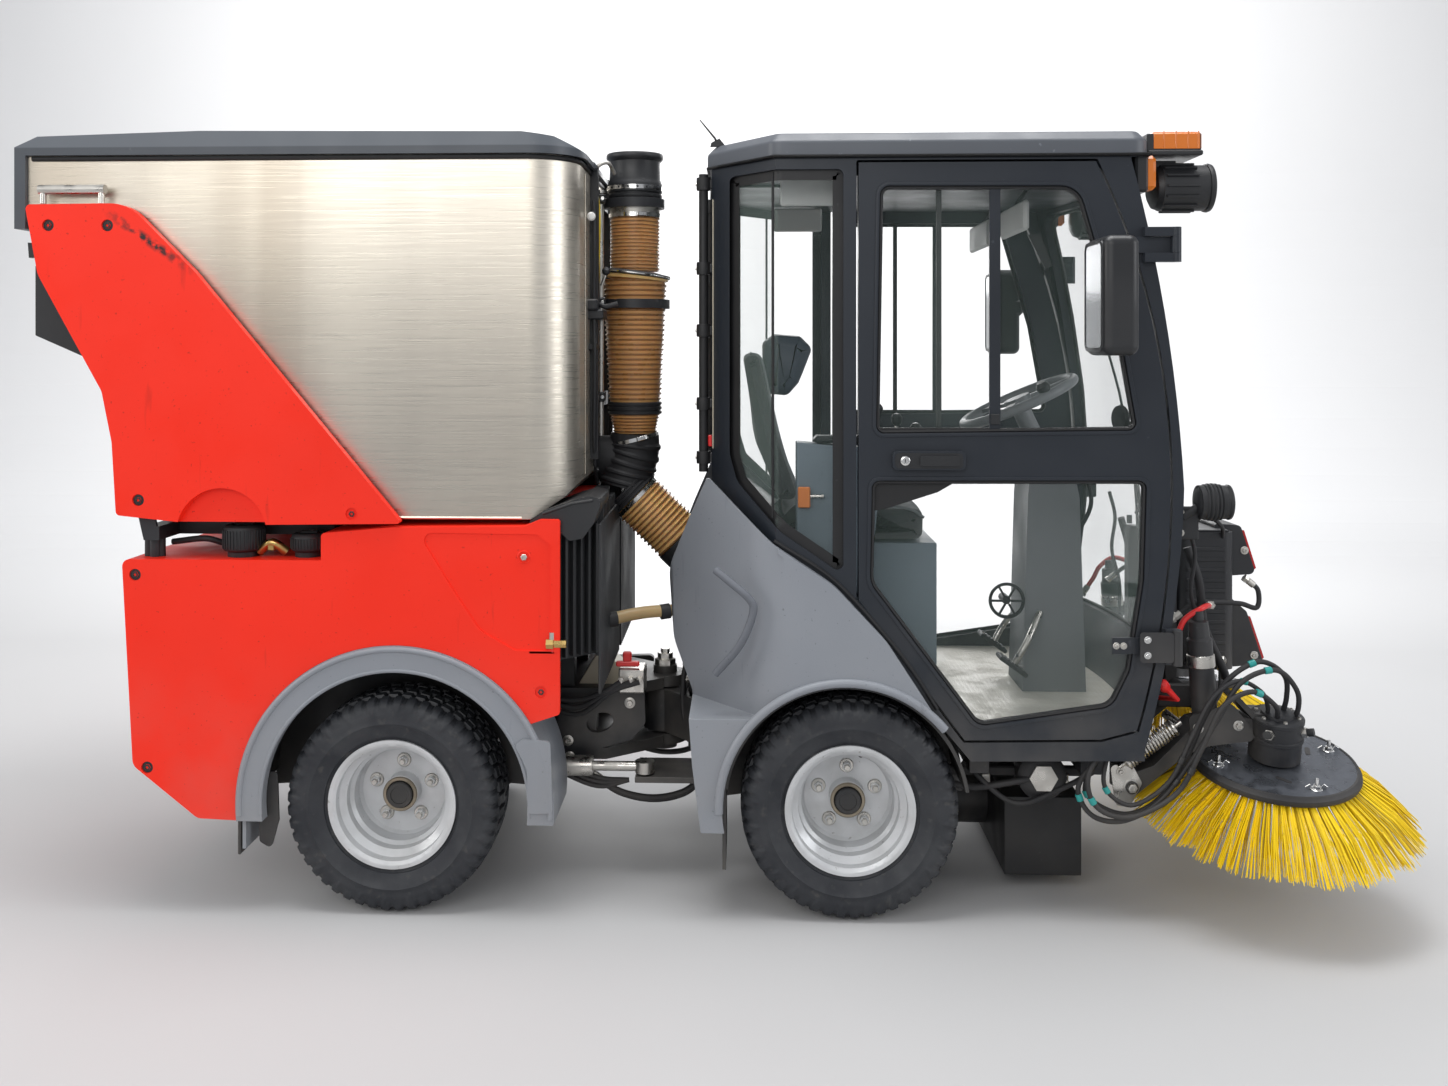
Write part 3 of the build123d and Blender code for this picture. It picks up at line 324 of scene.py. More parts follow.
def pane_glass():
    """Clear pane that mirrors more at a flat angle, with faint streaks."""
    made = Finish("cab_glass", GLASS, 0.02, IOR=1.5, Specular_IOR_Level=0.6)
    facing = made.node("LayerWeight", Blend=0.25).outputs["Facing"]
    streaks = made.noise(3, 5, 0.45, 0.8, stretch=(1, 1, 0.35))
    clear = made.spread(facing, 0.0, 1.0, 0.035, 0.42)
    cloudy = made.math("ADD", clear, made.math("MULTIPLY", streaks, 0.05))
    made.feed(made.shader.inputs["Alpha"], cloudy)
    made.vary(streaks, 0.015, 0.07)
    return made.material


def lens(name, colour, rough=0.12, glow=0.0):
    """Ribbed lamp lens, lit from inside where glow is set."""
    made = Finish(name, colour, rough, Coat_Weight=0.6, Coat_Roughness=0.05)
    ribs = made.noise(1, 0, 0.35, 0.65, stretch=(1, 160, 1))
    made.tint(ribs, scaled(colour, 0.6), 0.5)
    made.vary(made.noise(20, 2), rough * 0.7, rough * 1.6)
    made.bump(ribs, 0.0008, 0.5)
    if glow:
        made.shader.inputs["Emission Color"].default_value = (*colour, 1)
        made.shader.inputs["Emission Strength"].default_value = glow
    return made.material


def woven_fabric():
    made = Finish("seat_fabric", (0.028, 0.03, 0.034), 0.85, Sheen_Weight=0.35)
    warp = made.noise(1, 1, 0.3, 0.7, stretch=(700, 90, 90))
    weft = made.noise(1, 1, 0.3, 0.7, stretch=(90, 700, 700))
    weave = made.math("MULTIPLY", warp, weft)
    made.tint(weave, (0.09, 0.09, 0.1), 0.6)
    made.clouds(9, 4, 0.45, 0.75, (0.06, 0.058, 0.055), 0.5)
    made.vary(weave, 0.75, 0.95)
    made.bump(weave, 0.0006, 0.6)
    return made.material


def tread_plate():
    """Aluminium floor sheet with crossing raised bars, dusty in the hollows."""
    made = Finish("floor_plate", (0.74, 0.71, 0.62), 0.45, metal=0.15)
    waves = []
    for turn in (0.785, -0.785):
        turned = made.node("Mapping", Vector=made.coords, Rotation=(0, 0, turn), Scale=(28, 70, 1))
        wave = made.node("TexWave", Vector=turned.outputs["Vector"], Scale=0.6, Distortion=0.0)
        waves.append(made.spread(wave.outputs["Fac"], 0.75, 0.95))
    bars = made.math("MAXIMUM", *waves)
    made.clouds(10, 4, 0.4, 0.75, (0.42, 0.39, 0.33), 0.45)
    made.tint(bars, (0.86, 0.84, 0.78), 0.45)
    made.vary(made.noise(20, 3), 0.3, 0.6)
    made.bump(bars, 0.0015, 0.8)
    return made.material


orange_skin = moulded("orange_skin", ORANGE, ORANGE_WORN, 0.42, Specular_IOR_Level=0.3)
wing_rub = ((-1.414, -0.546, 1.694), 0.3, atan2(0.144, 0.21), 0.03)
wing_skin = moulded("wing_skin", ORANGE, ORANGE_WORN, 0.42, wing_rub, Specular_IOR_Level=0.3)
console_grey = moulded("console_grey", (0.17, 0.18, 0.19), (0.12, 0.13, 0.14), 0.5)
brush_plate = bare_metal("brush_plate", (0.13, 0.14, 0.16), 0.34, dirt=0.3, metal=0.75)
grey_skin = moulded("blue_grey_skin", BLUE_GREY, (0.19, 0.205, 0.235), 0.42)
console_skin = moulded("console_skin", INTERIOR, (0.085, 0.115, 0.155), 0.5)
black_plastic = moulded("black_plastic", BLACK, (0.03, 0.031, 0.033), 0.45)
lid_paint = two_tone_lid()
cab_paint = painted("cab_paint", ANTHRACITE, 0.38, Specular_IOR_Level=0.38)
roof_paint = painted("roof_paint", ROOF_GREY, 0.42)
# painted shade: the crease's darker grey stands in for the shade in the pressed line
crease_painted_shade = moulded("crease_painted_shade", CREASE_PAINTED_SHADE, (0.1, 0.11, 0.13), 0.5)
frame_paint = painted("frame_paint", (0.017, 0.018, 0.021), 0.45, dust=0.5)
cast_dark = bare_metal("cast_dark", (0.045, 0.045, 0.047), 0.6, metal=0.4)
zinc = bare_metal("zinc", ZINC, 0.35)
bright_steel = bare_metal("bright_steel", (0.72, 0.72, 0.71), 0.16, dirt=0.2)
brass = bare_metal("brass", BRASS, 0.32)
hub_ring = bare_metal("hub_ring", (0.3, 0.26, 0.2), 0.4)
steel = brushed_steel()
tyre_skin = tyre_rubber()
rim_paint = wheel_silver()
hose_skin_tan = hose_skin("hose_tan", HOSE_TAN, HOSE_DARK)
hose_skin_brown = hose_skin("hose_brown", (0.72, 0.38, 0.14), (0.36, 0.18, 0.065))
cream_hose = hose_skin("hose_cream", (0.5, 0.35, 0.16), (0.34, 0.23, 0.1))
hose_wire = bare_metal("hose_wire", (0.26, 0.13, 0.05), 0.35, metal=0.1)
rubber = painted("black_rubber", RUBBER, 0.6, dust=0.2)
seal_rubber = painted("seal_rubber", (0.008, 0.008, 0.009), 0.5, dust=0.05)
bristle = bristle_yellow()
glass = pane_glass()
fabric = woven_fabric()
floor_plate = tread_plate()
red_paint = painted("red_paint", RED, 0.35, dust=0.1)
teal_plastic = painted("teal_plastic", TEAL, 0.4, dust=0.1)
yellow_paint = painted("yellow_paint", (0.8, 0.55, 0.02), 0.4, dust=0.2)
white_plastic = painted("white_plastic", WHITE, 0.5, dust=0.0)
amber_lens = lens("amber_lens", AMBER, glow=0.15)
red_lens = lens("red_lens", (0.55, 0.01, 0.01))
clear_lens = lens("clear_lens", (0.75, 0.78, 0.8), 0.05)
cream_plastic = painted("cream_plastic", (0.52, 0.47, 0.36), 0.5, dust=0.0)
visor_grey = painted("visor_grey", (0.5, 0.51, 0.5), 0.6, dust=0.0)
orange_paint = painted("orange_paint", (0.75, 0.2, 0.02), 0.4, dust=0.0)
vinyl = painted("head_cushion", (0.045, 0.06, 0.085), 0.42, dust=0.0)
piping = painted("seat_piping", (0.2, 0.21, 0.22), 0.6, dust=0.0)
mirror_glass = bare_metal("mirror_glass", (0.1, 0.11, 0.12), 0.05, dirt=0.05, metal=0.5)


# Mesh tools


def signed_area(loop):
    """Twice the loop's area, above 0 where it runs from its first axis towards its second."""
    return sum(a[0] * b[1] - b[0] * a[1] for a, b in zip(loop, loop[1:] + loop[:1]))


def lift(point, level, axis):
    """A flat point at a level along an axis. Y takes (x, z), X takes (y, z) and Z takes (x, y)."""
    a, b = point
    return {"X": (level, a, b), "Y": (a, level, b), "Z": (a, b, level)}[axis]


def polar(radius, angle):
    return radius * cos(angle), radius * sin(angle)


def arc(centre, radius, low, high, steps=40):
    """Points of a circle about centre, from one angle in degrees to another."""
    angles = (radians(low + (high - low) * step / steps) for step in range(steps + 1))
    return [(centre[0] + radius * cos(angle), centre[1] + radius * sin(angle)) for angle in angles]


class Shape:
    """A joined mesh under construction. A face's mark is its place in the list of materials."""

    def __init__(self):
        self.points = []
        self.faces = []
        self.marks = []

    def add(self, points, faces, mark=0, place=None):
        base = len(self.points)
        if place is not None:
            points = [place @ Vector(point) for point in points]
        self.points.extend(tuple(point) for point in points)
        self.faces.extend(tuple(base + corner for corner in face) for face in faces)
        self.marks.extend(mark if isinstance(mark, list) else [mark] * len(faces))
        return self

    def band(self, rows, mark=0):
        """Joins loops of points, each to the next and the last to the first."""
        count = len(rows[0])
        faces = []
        for row in range(len(rows)):
            here, there = row * count, (row + 1) % len(rows) * count
            for i in range(count):
                after = (i + 1) % count
                faces.append((here + i, here + after, there + after, there + i))
        return self.add([point for row in rows for point in row], faces, mark)

    def peg(self, place, radius, height, segments, mark=0, crown=0.001):
        """A pin with a slightly raised top, round or six-sided."""
        return self.lathe([(radius, 0), (radius, height), (0, height + crown)], place, segments, mark)

    def lathe(self, outline, place, segments=48, mark=0, closed=False):
        """Turns (radius, height) points about the local Z axis."""
        rows, points = [], []
        for radius, height in outline:
            if radius < 1e-6:
                rows.append([len(points)] * segments)
                points.append((0, 0, height))
                continue
            rows.append(list(range(len(points), len(points) + segments)))
            for turn in range(segments):
                angle = TURN * turn / segments
                points.append((*polar(radius, angle), height))
        faces = []
        spans = list(zip(rows, rows[1:] + rows[:1] if closed else rows[1:]))
        for low, high in spans:
            for turn in range(segments):
                after = (turn + 1) % segments
                ring = dict.fromkeys((low[turn], low[after], high[after], high[turn]))
                if len(ring) > 2:
                    faces.append(tuple(ring))
        if not closed:
            if rows[0][0] != rows[0][1]:
                faces.append(tuple(reversed(rows[0])))
            if rows[-1][0] != rows[-1][1]:
                faces.append(tuple(rows[-1]))
        return self.add(points, faces, mark, place)

    def tube(self, path, radius, sides=12, mark=0, caps=True):
        """Sweeps a round section along points. The radius may be one number or one per point."""
        path = [Vector(point) for point in path]
        radii = [radius] * len(path) if isinstance(radius, (int, float)) else radius
        side = None
        points, faces = [], []
        for index, point in enumerate(path):
            before, after = path[max(index - 1, 0)], path[min(index + 1, len(path) - 1)]
            way = (after - before).normalized()
            if side is None:
                side = way.cross(UP if abs(way.z) < 0.9 else Vector(FORWARD)).normalized()
            side = (side - way * side.dot(way)).normalized()
            other = way.cross(side)
            for turn in range(sides):
                a, b = polar(1, TURN * turn / sides)
                points.append(point + (side * a + other * b) * radii[index])
        for index in range(len(path) - 1):
            here, there = index * sides, (index + 1) * sides
            for turn in range(sides):
                after = (turn + 1) % sides
                faces.append((here + turn, here + after, there + after, there + turn))
        if caps:
            faces.append(tuple(reversed(range(sides))))
            faces.append(tuple(range((len(path) - 1) * sides, len(path) * sides)))
        return self.add(points, faces, mark)

    def brick(self, low, high, edge=0.002, mark=0, place=None):
        """A box with chamfered edges."""
        low, high = Vector(low), Vector(high)
        points, index = [], {}
        for cx in (0, 1):
            for cy in (0, 1):
                for cz in (0, 1):
                    corner = [(low, high)[c][axis] for axis, c in enumerate((cx, cy, cz))]
                    inward = [edge if c == 0 else -edge for c in (cx, cy, cz)]
                    for axis in range(3):
                        point = [corner[i] + (0 if i == axis else inward[i]) for i in range(3)]
                        index[cx, cy, cz, axis] = len(points)
                        points.append(point)
        faces = []
        for axis in range(3):
            one, two = (axis + 1) % 3, (axis + 2) % 3
            for side in (0, 1):
                ring = []
                for a, b in ((0, 0), (1, 0), (1, 1), (0, 1)):
                    key = [0, 0, 0]
                    key[axis], key[one], key[two] = side, a, b
                    ring.append(index[(*key, axis)])
                faces.append(tuple(ring) if side else tuple(reversed(ring)))
            for a in (0, 1):
                for b in (0, 1):
                    ends = []
                    for end in (0, 1):
                        key = [0, 0, 0]
                        key[axis], key[one], key[two] = end, a, b
                        ends.append((index[(*key, one)], index[(*key, two)]))
                    (p, q), (r, s) = ends
                    ring = (p, r, s, q)
                    faces.append(ring if a == b else tuple(reversed(ring)))
        for cx in (0, 1):
            for cy in (0, 1):
                for cz in (0, 1):
                    ring = tuple(index[cx, cy, cz, axis] for axis in range(3))
                    faces.append(ring if (cx + cy + cz) % 2 else tuple(reversed(ring)))
        return self.add(points, faces, mark, place)

    def prism(self, outline, low, high, axis="Y", mark=0, place=None):
        """Carries a flat outline from low to high along an axis."""
        count = len(outline)
        points = [lift(point, level, axis) for level in (low, high) for point in outline]
        faces = [tuple(range(count)), tuple(range(2 * count - 1, count - 1, -1))]
        faces += [(i, i + count, (i + 1) % count + count, (i + 1) % count) for i in range(count)]
        if (signed_area(outline) > 0) != (axis == "Y"):
            faces = [tuple(reversed(face)) for face in faces]
        return self.add(points, faces, mark, place)

    def flip(self):
        """Mirrors everything to the other side."""
        self.points = [(x, -y, z) for x, y, z in self.points]
        self.faces = [tuple(reversed(face)) for face in self.faces]
        return self


def build(name, shape, body, materials, smooth=35, both=False):
    """Makes the object. both adds the mirror image on the other side."""
    points, faces, marks = shape.points, shape.faces, shape.marks
    if both:
        count = len(points)
        points = points + [(x, -y, z) for x, y, z in points]
        faces = faces + [tuple(count + corner for corner in reversed(face)) for face in faces]
        marks = marks + marks
    mesh = bpy.data.meshes.new(name)
    mesh.from_pydata(points, [], faces)
    for material in materials:
        mesh.materials.append(material)
    mesh.polygons.foreach_set("material_index", marks)
    mesh.polygons.foreach_set("use_smooth", [True] * len(faces))
    mesh.set_sharp_from_angle(angle=radians(smooth))
    mesh.update()
    piece = bpy.data.objects.new(name, mesh)
    bpy.context.scene.collection.objects.link(piece)
    if body:
        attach(piece, body)
    return piece


def at(x, y, z, turn=(0, 0, 0)):
    """A place with turns in degrees about X, Y and Z."""
    spin = Matrix.Rotation(radians(turn[2]), 4, "Z")
    spin = spin @ Matrix.Rotation(radians(turn[1]), 4, "Y")
    spin = spin @ Matrix.Rotation(radians(turn[0]), 4, "X")
    return Matrix.Translation((x, y, z)) @ spin


def along(start, way):
    """A place at start whose local Z axis points along way."""
    return Matrix.Translation(start) @ Vector(way).to_track_quat("Z", "Y").to_matrix().to_4x4()


def curve_points(points, steps=8):
    """Smooth line through the points."""
    points = [Vector(point) for point in points]
    line = [points[0] * 2 - points[1]] + points + [points[-1] * 2 - points[-2]]
    made = []
    for index in range(1, len(line) - 2):
        a, b, c, d = line[index - 1 : index + 3]
        for step in range(steps):
            t = step / steps
            square, cube = (2 * a - 5 * b + 4 * c - d) * t**2, (3 * b - a - 3 * c + d) * t**3
            made.append(0.5 * (2 * b + (c - a) * t + square + cube))
    made.append(points[-1])
    return made


# Frame nodes that keep their shape


def smooth_group():
    """Joins the imported faces again and takes their stored normals off."""
    group = bpy.data.node_groups.new("Join faces", "GeometryNodeTree")
    group.interface.new_socket("Geometry", in_out="INPUT", socket_type="NodeSocketGeometry")
    group.interface.new_socket("Geometry", in_out="OUTPUT", socket_type="NodeSocketGeometry")
    source = group.nodes.new("NodeGroupInput")
    sink = group.nodes.new("NodeGroupOutput")
    join = group.nodes.new("GeometryNodeMergeByDistance")
    join.inputs["Distance"].default_value = 1e-5
    plain = group.nodes.new("GeometryNodeSetMeshNormal")
    plain.mode = "SHARPNESS"
    shade = group.nodes.new("GeometryNodeSetShadeSmooth")
    group.links.new(source.outputs[0], join.inputs["Geometry"])
    group.links.new(join.outputs["Geometry"], plain.inputs["Mesh"])
    group.links.new(plain.outputs["Mesh"], shade.inputs["Geometry"])
    group.links.new(shade.outputs["Geometry"], sink.inputs[0])
    return group


JOIN = smooth_group()


def dress(node, material, edge=0.0, segments=2):
    """Gives a frame node its finish and, where edge is set, rounded edges."""
    piece = nodes[node]
    piece.data.materials.clear()
    piece.data.materials.append(material)
    if edge:
        join = piece.modifiers.new("Join", "NODES")
        join.node_group = JOIN
        flat = piece.modifiers.new("Flat", "DECIMATE")
        flat.decimate_type = "DISSOLVE"
        flat.angle_limit = radians(0.5)
        bevel = piece.modifiers.new("Edge", "BEVEL")
        bevel.width = edge
        bevel.segments = segments
        bevel.limit_method = "ANGLE"
        bevel.angle_limit = radians(40)
        bevel.use_clamp_overlap = True
        bevel.harden_normals = False
        weigh = piece.modifiers.new("Shade", "WEIGHTED_NORMAL")
        weigh.keep_sharp = True
    return piece


def dress_frame():
    """Finish and edge radius of every frame node. A pair's name has {} for its side."""
    finishes = (
        (orange_skin, 0.004, "rear_covers"),
        (wing_skin, 0.006, "wings"),
        (grey_skin, 0.006, "rear_fenders"),
        (grey_skin, 0.004, "side_panels"),
        (steel, 0.002, "hopper_tank"),
        (lid_paint, 0.006, "hopper_lid"),
        (cab_paint, 0.004, "cab_frame"),
        (roof_paint, 0.005, "roof"),
        (cab_paint, 0.003, "door_{}"),
        (cab_paint, 0.001, "door_hinges"),
        (glass, 0, "cab_glass door_glass_{}"),
        (floor_plate, 0, "cab_floor"),
        (frame_paint, 0.003, "rear_frame front_frame front_carrier front_module"),
        (frame_paint, 0.002, "tank_cradle brush_arm_{}"),
        (frame_paint, 0.0015, "hopper_rails"),
        (frame_paint, 0, "suction_duct"),
        (cast_dark, 0.004, "rear_axle front_axle"),
        (cast_dark, 0.006, "engine_block"),
        (black_plastic, 0.003, "filler_caps"),
        (black_plastic, 0.002, "arch_liners inlet_elbow tail_board cab_lamps"),
        (black_plastic, 0.0015, "radiator_grille"),
        (black_plastic, 0, "mirror_{}"),
        (red_lens, 0.003, "rear_lamps"),
        (zinc, 0, "grab_handles steering_cylinders"),
        (hose_skin_brown, 0, "hand_tube"),
        (hose_skin_tan, 0, "suction_hose"),
        (cream_hose, 0, "water_hose"),
        (console_skin, 0.004, "seat_base"),
        (fabric, 0, "seat_cushions"),
        (console_grey, 0.003, "steering_column"),
        (seal_rubber, 0.002, "suction_mouth"),
        (brush_plate, 0.001, "brush_disc_{}"),
        (bristle, 0, "bristles_{}"),
        (tyre_skin, 0, "rear_tyre_{} front_tyre_{}"),
        (rim_paint, 0.0015, "rear_rim_{} front_rim_{}"),
    )
    for material, edge, names in finishes:
        for name in names.split():
            for node in {name.format(side): None for side, _ in SIDES}:
                dress(node, material, edge)


dress_frame()


# Sizes taken from the frame, in metres


def middle(node):
    low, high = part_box(node)
    return (Vector(low) + Vector(high)) / 2


TREAD_DEPTH = 0.0075
BODY_Y, WING_Y = 0.535, 0.546  # outer faces of the covers and of the wings
REAR_ARCH, FRONT_ARCH = (-0.795, 0.281), (0.33, 0.285)  # x and z of the arches' centres
HOSE_START, HOSE_END = Vector((-0.262, 0, 1.025)), Vector((-0.112, 0, 0.88))
HOSE_WAY = (HOSE_END - HOSE_START).normalized()
TUBE_X = -0.238  # axis of the stored hand hose
BRUSH_TILT = radians(11)
BRUSH_CENTRE = Vector((1.418, 0.4, 0.378))


def bolt(shape, place, radius=0.008, height=0.005, mark=0, washer=0.0):
    """Hexagon head standing on its local Z axis, with a socket in its top."""
    if washer:
        rim = [(washer, 0), (washer, 0.0012), (washer * 0.93, 0.0018), (0, 0.0018)]
        shape.lathe(rim, place, 28, mark)
        place = place @ Matrix.Translation((0, 0, 0.0018))
    socket, floor = radius * 0.55, height * 0.45
    head = [(radius, 0), (radius, height * 0.8), (radius * 0.86, height), (socket, height)]
    shape.lathe(head + [(socket * 0.9, floor), (0, floor)], place, 6, mark)


def bolts(shape, places, radius, height, mark, washer=0.0):
    """Bolts that face outward, each given by x, z and how far out its seat lies."""
    for x, z, y in places:
        bolt(shape, outward(x, z, y), radius, height, mark, washer)


def outward(x, z, y):
    """A place on the left side whose local Z axis points out of the vehicle."""
    return Matrix.Translation((x, y, z)) @ Matrix.Rotation(-pi / 2, 4, "X")


def rounded(corners, radius, steps=6):
    """Closed loop through corner points, each rounded by one radius or by its own."""
    radii = [radius] * len(corners) if isinstance(radius, (int, float)) else radius
    made = []
    for index, corner in enumerate(corners):
        here = Vector(corner)
        back = (Vector(corners[index - 1]) - here).normalized()
        on = (Vector(corners[(index + 1) % len(corners)]) - here).normalized()
        half = back.angle(on) / 2
        if radii[index] < 1e-6 or abs(half - pi / 2) < 1e-3:
            made.append(tuple(here))
            continue
        reach = radii[index] / tan(half)
        centre = here + (back + on).normalized() * radii[index] / sin(half)
        start, end = here + back * reach - centre, here + on * reach - centre
        turn = start.angle_signed(end)
        for step in range(steps + 1):
            c, s = polar(1, -turn * step / steps)
            made.append(tuple(centre + Vector((start.x * c - start.y * s, start.x * s + start.y * c))))
    return made


def inset(loop, distance):
    """The loop moved in by a distance, point for point."""
    count = len(loop)
    sign = 1 if signed_area(loop) > 0 else -1
    made = []
    for i in range(count):
        before, here, after = (Vector(loop[(i + k) % count]) for k in (-1, 0, 1))
        a, b = (here - before).normalized(), (after - here).normalized()
        along_both = (a + b).normalized()
        lean = max(0.3, cos(a.angle(b) / 2)) if a.length and b.length else 1
        normal = Vector((-along_both.y, along_both.x)) * sign
        made.append(tuple(here + normal * distance / lean))
    return made


def ring_band(shape, loops, mark=0, axis="Y"):
    """Joins flat loops, each given with its level, into a closed band round an opening."""
    shape.band([[lift(point, level, axis) for point in loop] for loop, level in loops], mark)


# Wheels


def tyre_rows():
    """Across the tyre from the outer bead to the middle: place, carcass radius and tread row."""
    rows = (
        ("", (0.0795, 0.15), (0.0815, 0.165), (0.085, 0.1718), (0.09, 0.1728), (0.0912, 0.1765)),
        ("", (0.0975, 0.192), (0.1025, 0.206), (0.1042, 0.208), (0.1042, 0.2105), (0.103, 0.2125)),
        ("", (0.1038, 0.222), (0.1036, 0.229)),
        ("long", (0.103, 0.233), (0.1012, 0.24)),
        ("edge", (0.0998, 0.244), (0.096, 0.252), (0.09, 0.258), (0.081, 0.2612), (0.0665, 0.2634)),
        ("", (0.064, 0.2637), (0.06, 0.264)),
        ("side", (0.0575, 0.2642), (0.035, 0.2652)),
        ("", (0.0325, 0.2653), (0.0285, 0.2654)),
        ("middle", (0.026, 0.2655), (0.002, 0.2655)),
    )
    return [(y, radius, kind) for kind, *spots in rows for y, radius in spots]


def tyre_mesh(shape, centre, phase):
    """Tyre with a ribbed sidewall and staggered tread blocks, as one closed skin."""
    pitches, columns = 48, 8
    blocks = {
        "": (0,) * columns,
        "long": (0, 0, 1, 1, 0, 0, 0, 0),
        "edge": (0, 1, 1, 1, 1, 1, 0, 0),
        "side": (1, 1, 1, 0, 0, 1, 1, 1),
        "middle": (1, 1, 0, 0, 1, 1, 1, 1),
    }
    half = tyre_rows()
    rows = [(y, r, kind, 0) for y, r, kind in half]
    rows += [(-y, r, kind, columns // 2) for y, r, kind in reversed(half)]
    turns = pitches * columns
    points, faces = [], []
    for turn in range(turns):
        angle = TURN * turn / turns + phase
        for y, r, kind, shift in rows:
            raised = blocks[kind][(turn + shift) % columns]
            if kind == "long" and (turn // columns) % 2:
                raised = 0
            rise = TREAD_DEPTH * raised * (1 if kind in ("side", "middle") else 0.92)
            shoulder = min(1.0, max(0.0, (abs(y) - 0.085) / 0.018))
            across, upward = polar(r + rise * (1 - 0.75 * shoulder), angle)
            outward_y = y + copysign(rise * 0.45 * shoulder, y)
            points.append((centre.x + across, centre.y + outward_y, centre.z + upward))
    count = len(rows)
    for turn in range(turns):
        here, there = turn * count, (turn + 1) % turns * count
        for row in range(count):
            after = (row + 1) % count
            faces.append((here + row, there + row, there + after, here + after))
    shape.add(points, faces)


def wheel_details(shape, centre, sign):
    """Hub cap, studs in the nuts and the valve, on the outer face of one wheel."""
    face = Matrix.Translation(centre) @ Matrix.Rotation(-sign * pi / 2, 4, "X")
    disc = -0.036
    hub = face @ Matrix.Translation((0, 0, disc + 0.04))
    ring = [(0.0445, 0), (0.0445, 0.003), (0.0425, 0.005), (0.036, 0.005), (0.0345, 0.001), (0.0345, 0)]
    shape.lathe(ring, hub, 48, 2)
    cap = [(0.0335, 0), (0.0335, 0.01), (0.031, 0.0135), (0.0225, 0.014), (0.0215, 0.0115), (0, 0.0112)]
    shape.lathe(cap, hub, 48, 1)
    nut = [(0.0185, 0), (0.0185, 0.002), (0.0165, 0.0045), (0, 0.0045)]
    stud = [
        (0.0078, 0), (0.0078, 0.006), (0.0068, 0.0068), (0.0068, 0.008), (0.0078, 0.0088),
        (0.0066, 0.0105)
    ]
    for turn in range(5):
        spot = face @ Matrix.Translation((*polar(0.076, TURN * (turn / 5 + 0.25)), disc))
        shape.lathe(nut, spot, 24, 0)
        shape.lathe(stud + [(0, 0.0105)], spot @ Matrix.Translation((0, 0, 0.0158)), 16, 0)
    stem = face @ Matrix.Rotation(radians(70), 4, "Z") @ Matrix.Translation((0.108, 0, disc - 0.002))
    valve = [
        (0.0065, 0), (0.0055, 0.012), (0.0045, 0.014), (0.0045, 0.03), (0.0052, 0.0302), (0.0052, 0.04),
        (0.003, 0.042), (0, 0.042),
    ]
    shape.lathe(valve, stem @ Matrix.Rotation(radians(25), 4, "Y"), 14, 1)


def wheels():
    for end in ("rear", "front"):
        for side, sign in SIDES:
            centre = middle(f"{end}_tyre_{side}")
            shape = Shape()
            tyre_mesh(shape, centre, 0.35 if end == "rear" else 1.1)
            tyre = build(f"tyre_{end}_{side}", shape, f"{end}_wheel_{side}", [tyre_skin], 40)
            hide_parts(f"{end}_tyre_{side}")
            shape = Shape()
            wheel_details(shape, centre, sign)
            build(
                f"wheel_parts_{end}_{side}", shape, f"{end}_wheel_{side}",
                [zinc, black_plastic, hub_ring]
            )


# Suction line


def ribbed(length, pitch, crest):
    """Rings of a hose wall along its length: distance, rise and whether the ring is on a rib."""
    made = []
    count = max(1, round(length / pitch))
    for rib in range(count):
        for share, rise in ((0.0, 0.0), (0.35, 0.0), (0.5, 0.55), (0.62, 1.0), (0.8, 1.0), (0.92, 0.5)):
            made.append((length * (rib + share) / count, crest * rise, 0.5 <= share <= 0.8))
    return made + [(length, 0.0, False)]


def ribbed_tube(shape, start, way, length, pitch, root, growth, crest):
    """Ribbed hose along a straight line, whose root radius grows over the length. Ribs have mark 1."""
    rings = ribbed(length, pitch, crest)
    sides = 48
    points, faces, marks = [], [], []
    for distance, rise, _ in rings:
        radius = root + growth * distance / length + rise
        points += [(*polar(radius, TURN * turn / sides), distance) for turn in range(sides)]
    for index, (_, _, on_rib) in enumerate(rings[:-1]):
        here, there = index * sides, (index + 1) * sides
        for turn in range(sides):
            after = (turn + 1) % sides
            faces.append((here + turn, here + after, there + after, there + turn))
            marks.append(int(on_rib))
    faces += [tuple(reversed(range(sides))), tuple(range(len(points) - sides, len(points)))]
    shape.add(points, faces, marks + [0, 0], along(start, way))


def cuffs(shape, place, radius, pitch):
    """Three moulded rubber rings round a hose end."""
    outline = [(radius - 0.014, 0)]
    crest, count = radius + 0.0035, 3
    for ring in range(count):
        low = ring * pitch
        outline += [(radius, low + 0.0008), (crest, low + 0.0025)]
        outline += [(crest, low + pitch - 0.0045), (radius, low + pitch - 0.0028)]
    outline.append((radius - 0.014, count * pitch - 0.002))
    shape.lathe(outline, place, 56, 2, closed=True)


def hose_clamp(shape, place, radius, mark, width=0.012):
    """Bright worm-drive band with its screw housing."""
    inner, outer = radius - 0.001, radius + 0.0015
    band = [(inner, 0), (outer, 0.0006), (outer, width - 0.0006), (inner, width)]
    shape.lathe(band, place, 56, mark, closed=True)
    screw = place @ Matrix.Rotation(radians(-70), 4, "Z") @ Matrix.Translation(
        (radius + 0.005, 0, width / 2)
    )
    shape.brick((-0.005, -0.013, -0.006), (0.005, 0.013, 0.006), 0.0015, mark, screw)


